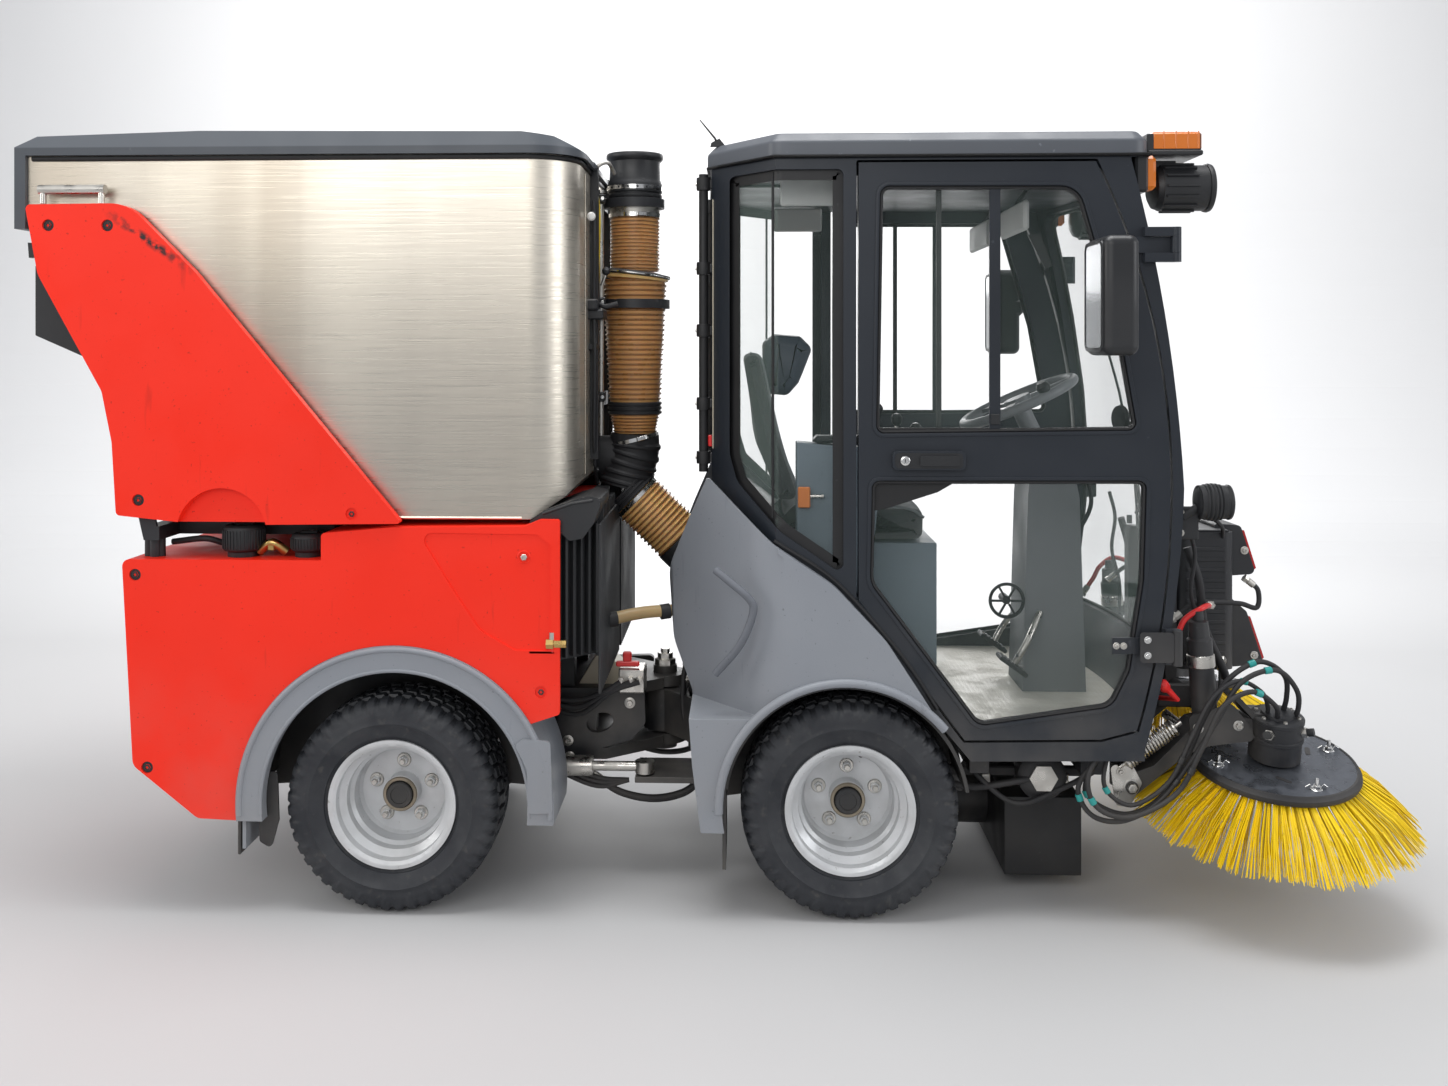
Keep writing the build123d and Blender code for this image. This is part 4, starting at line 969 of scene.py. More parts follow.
def suction_hose():
    """Tan spiral hose from the hopper's elbow to the front body."""
    shape = Shape()
    length = (HOSE_END - HOSE_START).length
    ribbed_tube(shape, HOSE_START + HOSE_WAY * 0.02, HOSE_WAY, length - 0.02, 0.0145, 0.0725, 0, 0.0055)
    cuffs(shape, along(HOSE_START, HOSE_WAY), 0.08, 0.0125)
    hose_clamp(shape, along(HOSE_START + HOSE_WAY * 0.037, HOSE_WAY), 0.0785, 3)
    hose = build("main_hose", shape, None, [hose_skin_tan, hose_wire, rubber, bright_steel])
    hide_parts("suction_hose")
    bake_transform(hose)


def water_line():
    """Tan water pipe from the radiators to the front body."""
    start, end = Vector((-0.287, -0.262, 0.694)), Vector((-0.121, -0.205, 0.71))
    arch, steps = 0.006, 24
    shares = [step / steps for step in range(steps + 1)]
    shape = Shape()
    shape.tube(
        [start.lerp(end, share) + Vector((0, 0, arch * sin(pi * share))) for share in shares], 0.0165, 28
    )
    cuff = [(0.016, -0.014), (0.0205, -0.013), (0.0205, 0.013), (0.016, 0.014)]
    for share in (0.06, 0.9):
        shape.lathe(cuff, along(start.lerp(end, share), end - start), 28, 1)
    hose = build("water_line", shape, None, [cream_hose, rubber])
    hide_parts("water_hose")
    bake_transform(hose)


def hand_hose():
    """Stored hand hose: ribbed cone, rim flange, ribbed upper part, clamp bands and a cap."""
    shape = Shape()
    ribbed_tube(shape, (TUBE_X, 0, 1.182), UP, 0.056, 0.0095, 0.058, 0.011, 0.004)
    cuffs(shape, at(TUBE_X, 0, 1.236), 0.0745, 0.013)
    ribbed_tube(shape, (TUBE_X, 0, 1.272), UP, 0.352, 0.0142, 0.0715, 0.0175, 0.0045)
    lip = [(0.08, 0), (0.096, 0.002), (0.0975, 0.008), (0.094, 0.0125), (0.08, 0.013)]
    shape.lathe(lip, at(TUBE_X, 0, 1.6235, (0, 5, 0)), 64, 4, closed=True)
    flange = [
        (0.074, -0.004), (0.0965, -0.002), (0.103, 0.001), (0.1035, 0.006), (0.101, 0.0085), (0.09, 0.009),
        (0.074, 0.0125),
    ]
    rim = at(TUBE_X, 0, 1.6365, (0, 7, 0))
    shape.lathe(flange, rim, 64, 2, closed=True)
    shape.lathe(
        [(0.1028, 0.0015), (0.1045, 0.002), (0.1045, 0.0052), (0.1028, 0.0058)], rim, 64, 3, closed=True
    )
    ribbed_tube(shape, (TUBE_X, 0, 1.648), UP, 0.154, 0.01, 0.069, 0, 0.003)
    hose_clamp(shape, at(TUBE_X, 0, 1.8015), 0.0735, 3, 0.013)
    axis = at(TUBE_X, 0, 0)
    shape.lathe(
        [(0.068, 1.8), (0.0728, 1.802), (0.0732, 1.856), (0.068, 1.858)], axis, 56, 5, closed=True
    )
    cap = [
        (0.06, 1.857), (0.0775, 1.858), (0.0785, 1.861), (0.0785, 1.867), (0.0755, 1.869), (0.0755, 1.872),
        (0.079, 1.874), (0.079, 1.897), (0.077, 1.902), (0.0735, 1.912), (0.0725, 1.95), (0.0735, 1.962),
        (0.0805, 1.969), (0.0825, 1.973), (0.0825, 1.981), (0.08, 1.985), (0.07, 1.986), (0.067, 1.981),
        (0.0, 1.979),
    ]
    shape.lathe(cap, axis, 64, 6)
    band = [(0.0785, 0), (0.0802, 0.0006), (0.0802, 0.0124), (0.0785, 0.013)]
    shape.lathe(band, at(TUBE_X, 0, 1.879), 64, 3, closed=True)
    for turn in range(18):
        x, y = polar(0.0802, TURN * turn / 18)
        hole = [(0.0036, -0.0008), (0.0036, 0.0004), (0, 0.0004)]
        shape.lathe(hole, along((TUBE_X + x, y, 1.8855), (x, y, 0)), 12, 6)
    materials = [hose_skin_brown, hose_wire, rubber, bright_steel, hose_skin_tan, zinc, black_plastic]
    hose = build("hand_hose", shape, "hopper", materials)
    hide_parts("hand_tube")


def elbow_boot():
    """Black rubber boot that turns the hose column into the main hose, with its ribs."""
    shape = Shape()
    end = HOSE_START - HOSE_WAY * 0.0085
    path = curve_points(
        [(TUBE_X, 0, 1.1797), (TUBE_X - 0.003, 0, 1.135), (TUBE_X - 0.018, 0, 1.082), end], 10
    )
    last = len(path) - 1
    ribs = [0.0045 if index % 5 in (2, 3) and 3 < index < last - 1 else 0 for index in range(last + 1)]
    shape.tube(path, [0.07 + 0.01 * index / last + rib for index, rib in enumerate(ribs)], 48, 0)
    hose_clamp(shape, at(TUBE_X - 0.001, 0, 1.158, (0, -14, 0)), 0.0725, 1)
    shape.tube(
        curve_points([(-0.348, 0, 1.112), (-0.315, 0, 1.112), (-0.262, 0, 1.105)], 5), 0.062, 40, 0
    )
    flange = [(0.066, 0), (0.088, 0), (0.088, 0.006), (0.066, 0.008)]
    shape.lathe(flange, along((-0.3465, 0, 1.112), FORWARD), 48, 0, closed=True)
    for turn in range(8):
        across, upward = polar(0.077, TURN * (turn + 0.5) / 8)
        bolt(shape, along((-0.3405, across, 1.112 + upward), FORWARD), 0.006, 0.004, 1)
    boot = build("elbow_boot", shape, "hopper", [rubber, bright_steel])
    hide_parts("inlet_elbow")


# Brushes


def strand(shape, line, radius):
    """One flat bristle along a line of points, thinner towards its tip."""
    points, faces = [], []
    last = len(line) - 1
    for index, point in enumerate(line):
        way = (line[min(index + 1, last)] - line[max(index - 1, 0)]).normalized()
        side = way.cross(UP).normalized()
        other = way.cross(side)
        width = radius * (1 - 0.35 * index / last)
        points += [
            point + side * a * width + other * b * width for a,
            b in ((1.0, 0.0), (-0.5, 0.8), (-0.5, -0.8))
        ]
    for here in range(0, 3 * last, 3):
        faces += [
            (here + turn, here + (turn + 1) % 3, here + 3 + (turn + 1) % 3, here + 3 + turn)
            for turn in range(3)
        ]
    shape.add(points, faces + [(2, 1, 0), (3 * last, 3 * last + 1, 3 * last + 2)])


def brush_place(sign):
    turn = Matrix.Rotation(-sign * BRUSH_TILT, 4, "X")
    return Matrix.Translation((BRUSH_CENTRE.x, sign * BRUSH_CENTRE.y, BRUSH_CENTRE.z)) @ turn


def bristle_ring(shape, place, spread, tufts, strands, share_low, share_high):
    """One ring of tufts. The share runs from the outer to the inner edge of the cone."""
    outer_root, inner_root = Vector((0.188, 0, -0.0095)), Vector((0.124, 0, -0.0095))
    outer_tip, inner_tip = Vector((0.3575, 0, -0.136)), Vector((0.246, 0, -0.1495))
    for tuft in range(tufts):
        heading = TURN * (tuft + spread.uniform(-0.18, 0.18)) / tufts
        lean = spread.uniform(-0.035, 0.035)
        trim = spread.uniform(0.93, 1.0)
        for _ in range(strands):
            share = spread.uniform(share_low, share_high)
            angle = heading + spread.uniform(-0.3, 0.3) * TURN / tufts
            splay = lean + spread.uniform(-0.035, 0.035)
            reach = trim * spread.uniform(0.93, 1.0)
            root = outer_root.lerp(inner_root, share_low + 0.6 * (share - share_low))
            tip = root.lerp(outer_tip.lerp(inner_tip, share), reach)
            bulge = Vector((0.004, 0, 0.007 + spread.uniform(0, 0.005)))
            centre = root.lerp(tip, 0.55) + bulge
            line = []
            for point, part in ((root, 0.0), (centre, 0.45), (tip, 1.0)):
                line.append(place @ Vector((*polar(point.x, angle + splay * part), point.z)))
            strand(shape, line, spread.uniform(0.0013, 0.0019))


def brushes():
    """Ragged cones of plastic bristles in tufts, and the ring, bolts and wing nuts on each disc."""
    rings = ((72, 15, 0.0, 0.22), (60, 9, 0.22, 0.5), (46, 6, 0.5, 0.95))
    edge = [
        (0.1955, -0.0115), (0.201, -0.01), (0.203, -0.005), (0.2015, 0.003), (0.1975, 0.0065),
        (0.1958, 0.0112), (0.1945, 0.0128), (0.19, 0.0128), (0.1885, 0.0113), (0.1953, 0.0108),
    ]
    washer = [(0.014, 0), (0.014, 0.0018), (0.012, 0.003), (0, 0.003)]
    stud = [(0.0045, 0.003), (0.0045, 0.026), (0.0035, 0.0285), (0, 0.0285)]
    for side, sign in SIDES:
        spread = random.Random(31 + sign)
        place = brush_place(sign)
        shape = Shape()
        for ring in rings:
            bristle_ring(shape, place, spread, *ring)
        cone = build(f"bristle_cone_{side}", shape, f"brush_{side}", [bristle], 60)
        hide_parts(f"bristles_{side}")
        shape = Shape()
        shape.lathe(edge, place, 96, 0, closed=True)
        for turn in range(4):
            spot = place @ Matrix.Translation((*polar(0.158, TURN * (turn / 4) - radians(75)), 0.011))
            shape.lathe(washer, spot, 24, 1)
            shape.lathe(stud, spot, 14, 1)
            bolt(shape, spot @ Matrix.Translation((0, 0, 0.003)), 0.0095, 0.008, 1)
            for way in (-1, 1):
                wing = spot @ Matrix.Rotation(way * 0.6, 4, "Y") @ Matrix.Translation(
                    (way * 0.012, 0, 0.0145)
                )
                shape.brick((-0.007, -0.0012, -0.005), (0.007, 0.0012, 0.007), 0.0008, 1, wing)
        slot = rounded([(-0.02, -0.006), (0.02, -0.006), (0.02, 0.006), (-0.02, 0.006)], 0.0058)
        for radius, degrees in ((0.105, 20), (0.118, 140), (0.112, 260)):
            angle = radians(degrees)
            spot = place @ Matrix.Translation((*polar(radius, angle), 0.0112))
            shape.prism(slot, 0.0, 0.0006, "Z", 0, spot @ Matrix.Rotation(angle + 0.9, 4, "Z"))
        build(f"brush_trim_{side}", shape, f"brush_{side}", [rubber, bright_steel])


def on_sides(name, draw, body, materials, smooth=35):
    """Draws a piece on the left, mirrors it to the right, and lets each ride its own body."""
    for side, sign in SIDES:
        shape = Shape()
        draw(shape)
        if sign < 0:
            shape.flip()
        build(f"{name}_{side}", shape, body.format(side=side), materials, smooth)


def cable(shape, points, radius, mark=0, sides=12, steps=8, fitting=None):
    """Round cable or hose through points, with a crimped metal fitting at both ends."""
    path = curve_points(points, steps)
    shape.tube(path, radius, sides, mark)
    if fitting is None:
        return
    crimp = [(1.05, 0), (1.35, 0.001 / radius), (1.35, 3), (1.1, 3.1), (1.1, 3.4), (0, 3.4)]
    nut = [(1.6, 3.4), (1.6, 5), (0, 5)]
    for end, after in ((path[0], path[2]), (path[-1], path[-3])):
        way = (end - after).normalized()
        place = along(end - way * radius * 3, way)
        for outline, segments in ((crimp, 16), (nut, 6)):
            shape.lathe([(radius * a, radius * b) for a, b in outline], place, segments, fitting)


def cables(shape, table):
    """Several cables, each given as radius, mark, mark of its fittings or None, and its points."""
    for radius, mark, fitting, *points in table:
        cable(shape, points, radius, mark, fitting=fitting)


def dense(loop, step):
    """The loop with more points along its straight stretches."""
    made = []
    for index, point in enumerate(loop):
        here, there = Vector(point), Vector(loop[(index + 1) % len(loop)])
        count = max(1, ceil((there - here).length / step))
        made += [tuple(here.lerp(there, part / count)) for part in range(count)]
    return made


# Cab


UPPER_WINDOW = rounded(
    [(0.416, 1.83), (0.905, 1.828), (1.0, 1.5), (1.049, 1.222), (0.406, 1.213)],
    (0.025, 0.06, 0.15, 0.02, 0.02), 8,
)
LOWER_WINDOW = rounded(
    [
        (0.396, 1.096), (1.071, 1.099), (1.064, 0.85), (1.03, 0.628), (0.986, 0.538), (0.657, 0.487),
        (0.391, 0.84)
    ],
    (0.02, 0.02, 0.15, 0.06, 0.05, 0.04, 0.06), 8,
)


def door_trim(shape):
    """Rubber seals, the sliding panes' rails, the handle's grip and lock, and the painted corner."""
    for window in (UPPER_WINDOW, LOWER_WINDOW):
        outer = inset(window, 0.0003)
        rows = [
            (outer, 0.4852), (outer, 0.4975), (inset(window, 0.003), 0.499),
            (inset(window, 0.0075), 0.4975)
        ]
        rows += [(inset(window, 0.0095), 0.49), (inset(window, 0.0095), 0.4852)]
        ring_band(shape, rows, 0)
        rim = inset(window, -0.0005)
        rows = [
            (rim, 0.4995), (rim, 0.5022), (inset(window, -0.004), 0.503), (inset(window, -0.009), 0.5022)
        ]
        rows += [(inset(window, -0.01), 0.4995)]
        ring_band(shape, rows, 1)
    shape.prism(
        [(0.398, 1.094), (0.612, 1.096), (0.56, 1.066), (0.43, 1.024), (0.394, 1.018)], 0.4852, 0.4858,
        "Y", 0
    )
    shape.brick((0.414, 0.4855, 1.2135), (0.7, 0.4925, 1.2275), 0.001, 0)
    shape.brick((0.558, 0.47, 1.216), (0.571, 0.4795, 1.828), 0.001, 0)
    shape.brick((0.6895, 0.4935, 1.236), (0.7115, 0.4995, 1.262), 0.001, 2)
    grip = rounded([(0.452, 1.128), (0.618, 1.128), (0.618, 1.166), (0.452, 1.166)], 0.01)
    shape.prism(grip, 0.5155, 0.5172, "Y", 2)
    lever = rounded([(0.512, 1.134), (0.61, 1.134), (0.61, 1.16), (0.512, 1.16)], 0.008)
    shape.prism(lever, 0.5165, 0.5225, "Y", 2)
    lock = outward(0.476, 1.147, 0.5168)
    shape.lathe(
        [(0.0115, 0), (0.0115, 0.0035), (0.01, 0.0045), (0.006, 0.0045), (0.0055, 0.0035), (0, 0.0035)],
        lock, 28, 3
    )
    shape.brick((-0.001, -0.0042, 0.003), (0.001, 0.0042, 0.0042), 0.0003, 0, lock)
    for z in (0.692, 1.68):
        for x in (0.994, 1.012):
            bolt(shape, outward(x, z, 0.508), 0.0055, 0.004, 4, 0.0085)


def quarter_y(x, depth):
    """How far out the folded cab side lies at x, a depth below its skin."""
    slope = 0.2 / 0.165
    return min(0.5 - depth, 0.3 + (x + 0.008) * slope - depth * hypot(1, slope))


def cab_trim(shape):
    """Printed edge of the rear side pane, its corner strip, the guard bar and the roof's gutter."""
    corners = [(0.04, 1.872), (0.325, 1.872), (0.325, 0.86), (0.17, 0.965), (0.06, 1.08), (0.04, 1.15)]
    outline = dense(rounded(corners, (0.015, 0.015, 0.015, 0.06, 0.06, 0.06)), 0.008)
    inner = inset(outline, 0.026)
    rows = ((outline, 0.0115), (outline, 0.0105), (inner, 0.0105), (inner, 0.0115))
    shape.band([[(x, quarter_y(x, depth), z) for x, z in loop] for loop, depth in rows])
    strip_y = quarter_y(0.15, 0.01)
    shape.tube([(0.15, strip_y, 1.0), (0.15, strip_y, 1.868)], 0.0035, 8, 0)
    bar_x, bar_y = -0.03, 0.292
    shape.tube([(bar_x, bar_y, 1.098), (bar_x, bar_y, 1.888)], 0.0125, 20, 0)
    collar = [(0.012, -0.017), (0.0185, -0.0165), (0.0195, 0), (0.0185, 0.0165), (0.012, 0.017)]
    for z in (1.136, 1.279, 1.473, 1.638, 1.862):
        shape.lathe(collar, at(bar_x, bar_y, z), 20, 0)
        shape.brick((-0.034, 0.283, z - 0.012), (0.006, 0.3, z + 0.012), 0.002, 0)
        bolt(shape, along((-0.047, bar_y, z), BACK), 0.005, 0.005, 1)
    twist = []
    for step in range(161):
        x, y = polar(0.004, step * 0.9)
        twist.append((0.002 + x, 0.289 + y, 1.2 + 0.55 * step / 160))
    shape.tube(twist, 0.0032, 6, 2)
    shape.brick((-0.006, 0.2925, 1.16), (0.004, 0.3055, 1.82), 0.001, 3)
    shape.brick((-0.018, 0.28, 1.165), (0.004, 0.296, 1.195), 0.002, 4)
    plan = [(-0.018, 0.29), (0.152, 0.5065), (1.078, 0.5065)]
    plan += [(x, -y) for x, y in reversed(plan)]
    gutter = [(x, y, 1.9035) for x, y in dense(plan, 0.05)]
    shape.tube(gutter + [gutter[0]], 0.0045, 8, 0)


def panel_trim(shape):
    """Pressed line on the joint panel, drawn in a darker grey as painted shade in the crease, rubber
    strips along the cab, and the arch's thick lip.
    """
    strip = [(0.152, 0.945), (0.3, 0.848), (0.432, 0.706), (0.5, 0.618), (0.556, 0.53)]
    line = curve_points([(x, 0.5035, z) for x, z in strip], 10)
    shape.tube(line, 0.0055, 10, 0)
    lip = [(x, 0.5352, z) for x, z in arc(FRONT_ARCH, 0.315, 40, 182)]
    shape.tube(lip, 0.011, 12, 1)
    crease = [(0.006, 0.87), (0.045, 0.842), (0.09, 0.805), (0.1, 0.77), (0.068, 0.69), (0.006, 0.61)]
    swage = []
    for point in curve_points([(x, 0, z) for x, z in crease], 10):
        y = 0.5352 if point.x > 0.08 else 0.535 - 0.84 * max(0.0, 0.08 - point.x) ** 1.25
        swage.append((point.x, y - 0.0086, point.z))
    # the pressed line takes the darker crease grey, painted shade in the crease
    shape.tube(swage, 0.01, 14, 2)


def roof_parts(shape):
    """Finned work lamps and amber lights at the roof's front corners, and the ribbed lamps on the nose."""
    y = 0.4
    front = along((1.2445, y, 1.832), FORWARD)
    bezel = [(0.05, -0.002), (0.0605, 0.0), (0.062, 0.006), (0.06, 0.012), (0.054, 0.012), (0.052, 0.004)]
    shape.lathe(bezel, front, 56, 0, closed=True)
    shape.lathe([(0.053, 0.0085), (0.045, 0.0115), (0.025, 0.0135), (0, 0.0142)], front, 48, 1)
    shape.lathe([(0.052, 0.0), (0.03, -0.0005), (0.012, 0.003), (0, 0.004)], front, 40, 3)
    dome = [(0.0575, -0.002), (0.052, 0.012), (0.038, 0.02), (0.014, 0.023), (0, 0.0232)]
    shape.lathe(dome, along((1.1285, y, 1.832), BACK), 48, 0)
    for turn in range(14):
        fin = along((1.165, y, 1.832), FORWARD) @ Matrix.Rotation(TURN * turn / 14, 4, "Z")
        fin = fin @ Matrix.Translation((0.0605, 0, 0))
        shape.brick((-0.003, -0.0025, -0.03), (0.003, 0.0025, 0.05), 0.0008, 0, fin)
    shape.brick((1.092, y - 0.071, 1.917), (1.216, y + 0.071, 1.9645), 0.006, 2)
    shape.brick((1.082, y - 0.074, 1.906), (1.218, y + 0.074, 1.9185), 0.003, 0)
    for x in (1.12, 1.15, 1.18, 1.205):
        shape.brick((x, y - 0.0718, 1.922), (x + 0.003, y + 0.0718, 1.9655), 0.0005, 2)
    y = 0.462
    shape.brick((1.046, y - 0.03, 1.812), (1.078, y + 0.03, 1.91), 0.006, 0)
    shape.brick((1.07, y - 0.024, 1.818), (1.1, y + 0.024, 1.904), 0.009, 2)
    shape.peg(along((1.06, y, 1.806), (0, 0, -1)), 0.006, 0.018, 12, 4)
    y = 0.47
    helmet = along((1.1985, y, 1.043), FORWARD)
    rings = [(0.014, 0.0), (0.028, 0.003)]
    for step in range(7):
        x, radius = 0.01 + 0.009 * step, 0.036 + 0.0085 * sin(pi * (step + 1) / 8)
        rings += [
            (radius, x), (radius + 0.0025, x + 0.002), (radius + 0.0025, x + 0.005), (radius, x + 0.007)
        ]
    rings += [(0.042, 0.076), (0.044, 0.0785), (0.043, 0.083), (0.037, 0.0835), (0, 0.0835)]
    shape.lathe(rings, helmet, 48, 0)
    shape.lathe([(0.0375, 0.0835), (0.03, 0.088), (0.014, 0.0905), (0, 0.091)], helmet, 40, 1)
    shape.brick((1.142, y - 0.006, 0.95), (1.206, y + 0.006, 1.032), 0.003, 0)
    bolts(shape, [(1.161, z, y + 0.006) for z in (0.967, 1.018)], 0.006, 0.005, 4, 0.009)


def antenna(shape):
    shape.tube(
        [(0.012, -0.288, 1.958), (0.0, -0.288, 1.985), (-0.04, -0.288, 2.034)], [0.0045, 0.003, 0.0016],
        10, 0
    )
    shape.prism([(0.03, 1.962), (-0.012, 1.962), (-0.01, 1.972), (0.012, 1.984)], -0.293, -0.283, "Y", 0)


def mirror_trim(shape):
    """Reflecting pane with its rim, and the clamp that holds the arm."""
    rim = rounded([(0.571, 1.418), (0.729, 1.418), (0.729, 1.676), (0.571, 1.676)], 0.022)
    ring_band(
        shape, [(rim, 0.9035), (rim, 0.9), (inset(rim, 0.008), 0.8985), (inset(rim, 0.009), 0.901)], 0,
        "X"
    )
    shape.prism(inset(rim, 0.0085), 0.9005, 0.9032, "X", 1)
    shape.brick((0.992, 0.4995, 1.57), (1.034, 0.512, 1.634), 0.004, 0)
    for z in (1.582, 1.622):
        bolt(shape, outward(1.024, z, 0.512), 0.005, 0.004, 2)
    shape.lathe(
        [(0.0165, -0.016), (0.0175, -0.012), (0.0175, 0.012), (0.0165, 0.016)],
        along((1.01, 0.548, 1.6), (0, 0, 1)), 24, 0
    )
    shape.lathe(
        [(0.018, -0.006), (0.02, -0.004), (0.02, 0.004), (0.018, 0.006)],
        along((0.99, 0.597, 1.569), (0.85, 0, -0.5)), 24, 0
    )
    shape.brick((0.95, 0.56, 1.535), (0.994, 0.622, 1.588), 0.009, 0)


def cushion_mesh(shape, outline, half, crown, mark=0, edge=0.03):
    """A padded block: an X-Z outline carried across, bulged in the middle and drawn in at the ends."""
    count = len(outline)
    loop = outline if signed_area(outline) > 0 else list(reversed(outline))
    centre = Vector((sum(x for x, _ in loop) / count, sum(z for _, z in loop) / count))
    points = []
    steps = 22
    for step in range(steps + 1):
        share = -1 + 2 * step / steps
        y = half * share
        close = max(0.0, (abs(share) * half - (half - edge)) / edge)
        draw = edge * (1 - sqrt(max(0.0, 1 - close**2)))
        seam = 0.004 * exp(-(((abs(y) - half * 0.62) / 0.008) ** 2))
        puff = crown * cos(share * pi / 2) - seam
        for x, z in inset(loop, draw):
            away = (Vector((x, z)) - centre).normalized()
            points.append((x + away.x * puff, y, z + away.y * puff))
    faces = []
    for here in range(0, steps * count, count):
        for i in range(count):
            j = (i + 1) % count
            faces.append((here + i, here + count + i, here + count + j, here + j))
    faces.append(tuple(range(count)))
    faces.append(tuple(steps * count + i for i in reversed(range(count))))
    shape.add(points, faces, mark)


def seat():
    """Cushion, backrest and head cushion with crowned faces, sewn channels and pale piping."""
    shape = Shape()
    base = dense(
        rounded(
            [(0.186, 0.968), (0.245, 0.908), (0.56, 0.908), (0.562, 0.985), (0.53, 0.99), (0.205, 0.986)],
            0.022
        ),
        0.012
    )
    cushion_mesh(shape, base, 0.225, 0.01)
    back = dense(
        rounded(
            [
                (0.228, 1.012), (0.175, 1.16), (0.117, 1.405), (0.075, 1.405), (0.117, 1.16),
                (0.172, 1.012)
            ],
            (0.02, 0.1, 0.018, 0.018, 0.1, 0.02)
        ), 0.012
    )
    cushion_mesh(shape, back, 0.205, 0.008)
    head = dense(
        rounded(
            [
                (0.14, 1.3), (0.132, 1.44), (0.165, 1.464), (0.235, 1.458), (0.268, 1.425), (0.23, 1.33),
                (0.2, 1.295)
            ],
            0.02
        ),
        0.01
    )
    cushion_mesh(shape, head, 0.115, 0.004, 2)
    for half in (-0.1, 0.1):
        shape.tube([(0.118, half * 0.6, 1.34), (0.15, half * 0.6, 1.355)], 0.007, 12, 3)
    for sign in (-1, 1):
        line = [(0.229, 1.03), (0.196, 1.11), (0.172, 1.19), (0.146, 1.3), (0.124, 1.395), (0.094, 1.412)]
        shape.tube(curve_points([(x, sign * 0.196, z) for x, z in line], 8), 0.0042, 8, 1)
        line = [(0.21, 0.986), (0.29, 0.997), (0.4, 0.998), (0.515, 0.993), (0.564, 0.968)]
        shape.tube(curve_points([(x, sign * 0.212, z) for x, z in line], 8), 0.0038, 8, 1)
    padded = build("seat_pads", shape, "front", [fabric, piping, vinyl, bright_steel], 50)
    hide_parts("seat_cushions")


def interior(shape):
    """Sun visors, wheel knob, pedals, levers, tag, spoked ring, round mirror and dash buttons."""
    for sign in (-1, 1):
        low, high = sorted((sign * 0.1, sign * 0.4))
        shape.brick((0.79, low, 1.728), (0.806, high, 1.806), 0.006, 1)
        shape.tube([(0.798, sign * 0.25, 1.8), (0.84, sign * 0.25, 1.862)], 0.006, 10, 0)
        low, high = sorted((sign * 0.36, sign * 0.375))
        shape.brick((0.172, low, 1.795), (0.322, high, 1.868), 0.004, 1)
    shape.prism([(0.816, 1.722), (0.85, 1.722), (0.88, 1.64), (0.862, 1.632)], -0.33, -0.324, "Y", 0)
    shape.lathe(
        [(0.01, 0), (0.017, 0.01), (0.02, 0.022), (0.014, 0.034), (0, 0.038)],
        at(0.905, -0.15, 1.3, (0, -24, 0)), 24, 0
    )
    for y in (-0.16, 0.125):
        pad = at(0.81, y, 0.56, (0, 35, 0))
        shape.brick((-0.045, -0.032, -0.006), (0.045, 0.032, 0.006), 0.003, 0, pad)
        for rib in range(6):
            shape.brick(
                (-0.036 + 0.013 * rib, -0.028, 0.006), (-0.031 + 0.013 * rib, 0.028, 0.0085), 0.0006, 0,
                pad
            )
        shape.tube(
            curve_points([(0.815, y, 0.56), (0.85, y, 0.62), (0.9, y * 0.6, 0.69)], 6), 0.009, 12, 2
        )
    for x, z, top in ((0.42, 1.155, 1.25), (0.47, 1.152, 1.225), (0.52, 1.148, 1.2)):
        y = -0.3
        shape.tube([(x, y, z), (x + 0.01, y, top)], 0.005, 12, 2)
        shape.lathe(
            [(0.006, 0), (0.013, 0.008), (0.015, 0.022), (0.009, 0.032), (0, 0.034)],
            at(x + 0.01, y, top - 0.004), 20, 0
        )
    shape.brick((0.26, -0.343, 1.176), (0.555, -0.265, 1.196), 0.009, 0)
    shape.brick((0.218, -0.36, 1.01), (0.25, -0.345, 1.064), 0.003, 3)
    shape.tube([(0.25, -0.352, 1.04), (0.285, -0.352, 1.04)], 0.005, 10, 2)
    shape.lathe(
        [(0.046, 0), (0.05, 0.003), (0.05, 0.009), (0.044, 0.01), (0.041, 0.004)],
        along((0.806, -0.105, 0.726), (0, -1, 0)), 36, 0, closed=True
    )
    shape.tube([(0.806, -0.105, 0.726), (0.806, -0.05, 0.726)], 0.012, 14, 0)
    for turn in range(6):
        spoke = along((0.806, -0.105, 0.726), (0, -1, 0)) @ Matrix.Rotation(TURN * turn / 6, 4, "Z")
        shape.brick((0.01, -0.003, 0.006), (0.044, 0.003, 0.0125), 0.001, 0, spoke)
    shape.lathe(
        [(0.034, 0), (0.036, 0.004), (0.033, 0.012), (0, 0.016)],
        along((1.06, -0.33, 1.243), (-1, -0.3, 0)), 32, 0
    )
    shape.tube([(1.062, -0.33, 1.243), (1.095, -0.335, 1.215)], 0.006, 10, 0)
    shape.brick((0.905, -0.092, 1.085), (0.975, 0.092, 1.14), 0.01, 0)
    for count in range(5):
        shape.brick(
            (0.9, -0.075 + 0.032 * count, 1.105), (0.9055, -0.055 + 0.032 * count, 1.125), 0.001, 1
            if count % 2 else 3
        )
    shape.tube(
        curve_points(
            [(1.01, -0.06, 0.9), (1.035, -0.12, 1.0), (1.0, -0.15, 1.1), (0.96, -0.06, 1.13)], 8
        ),
        0.006, 10, 0
    )


# Front gear


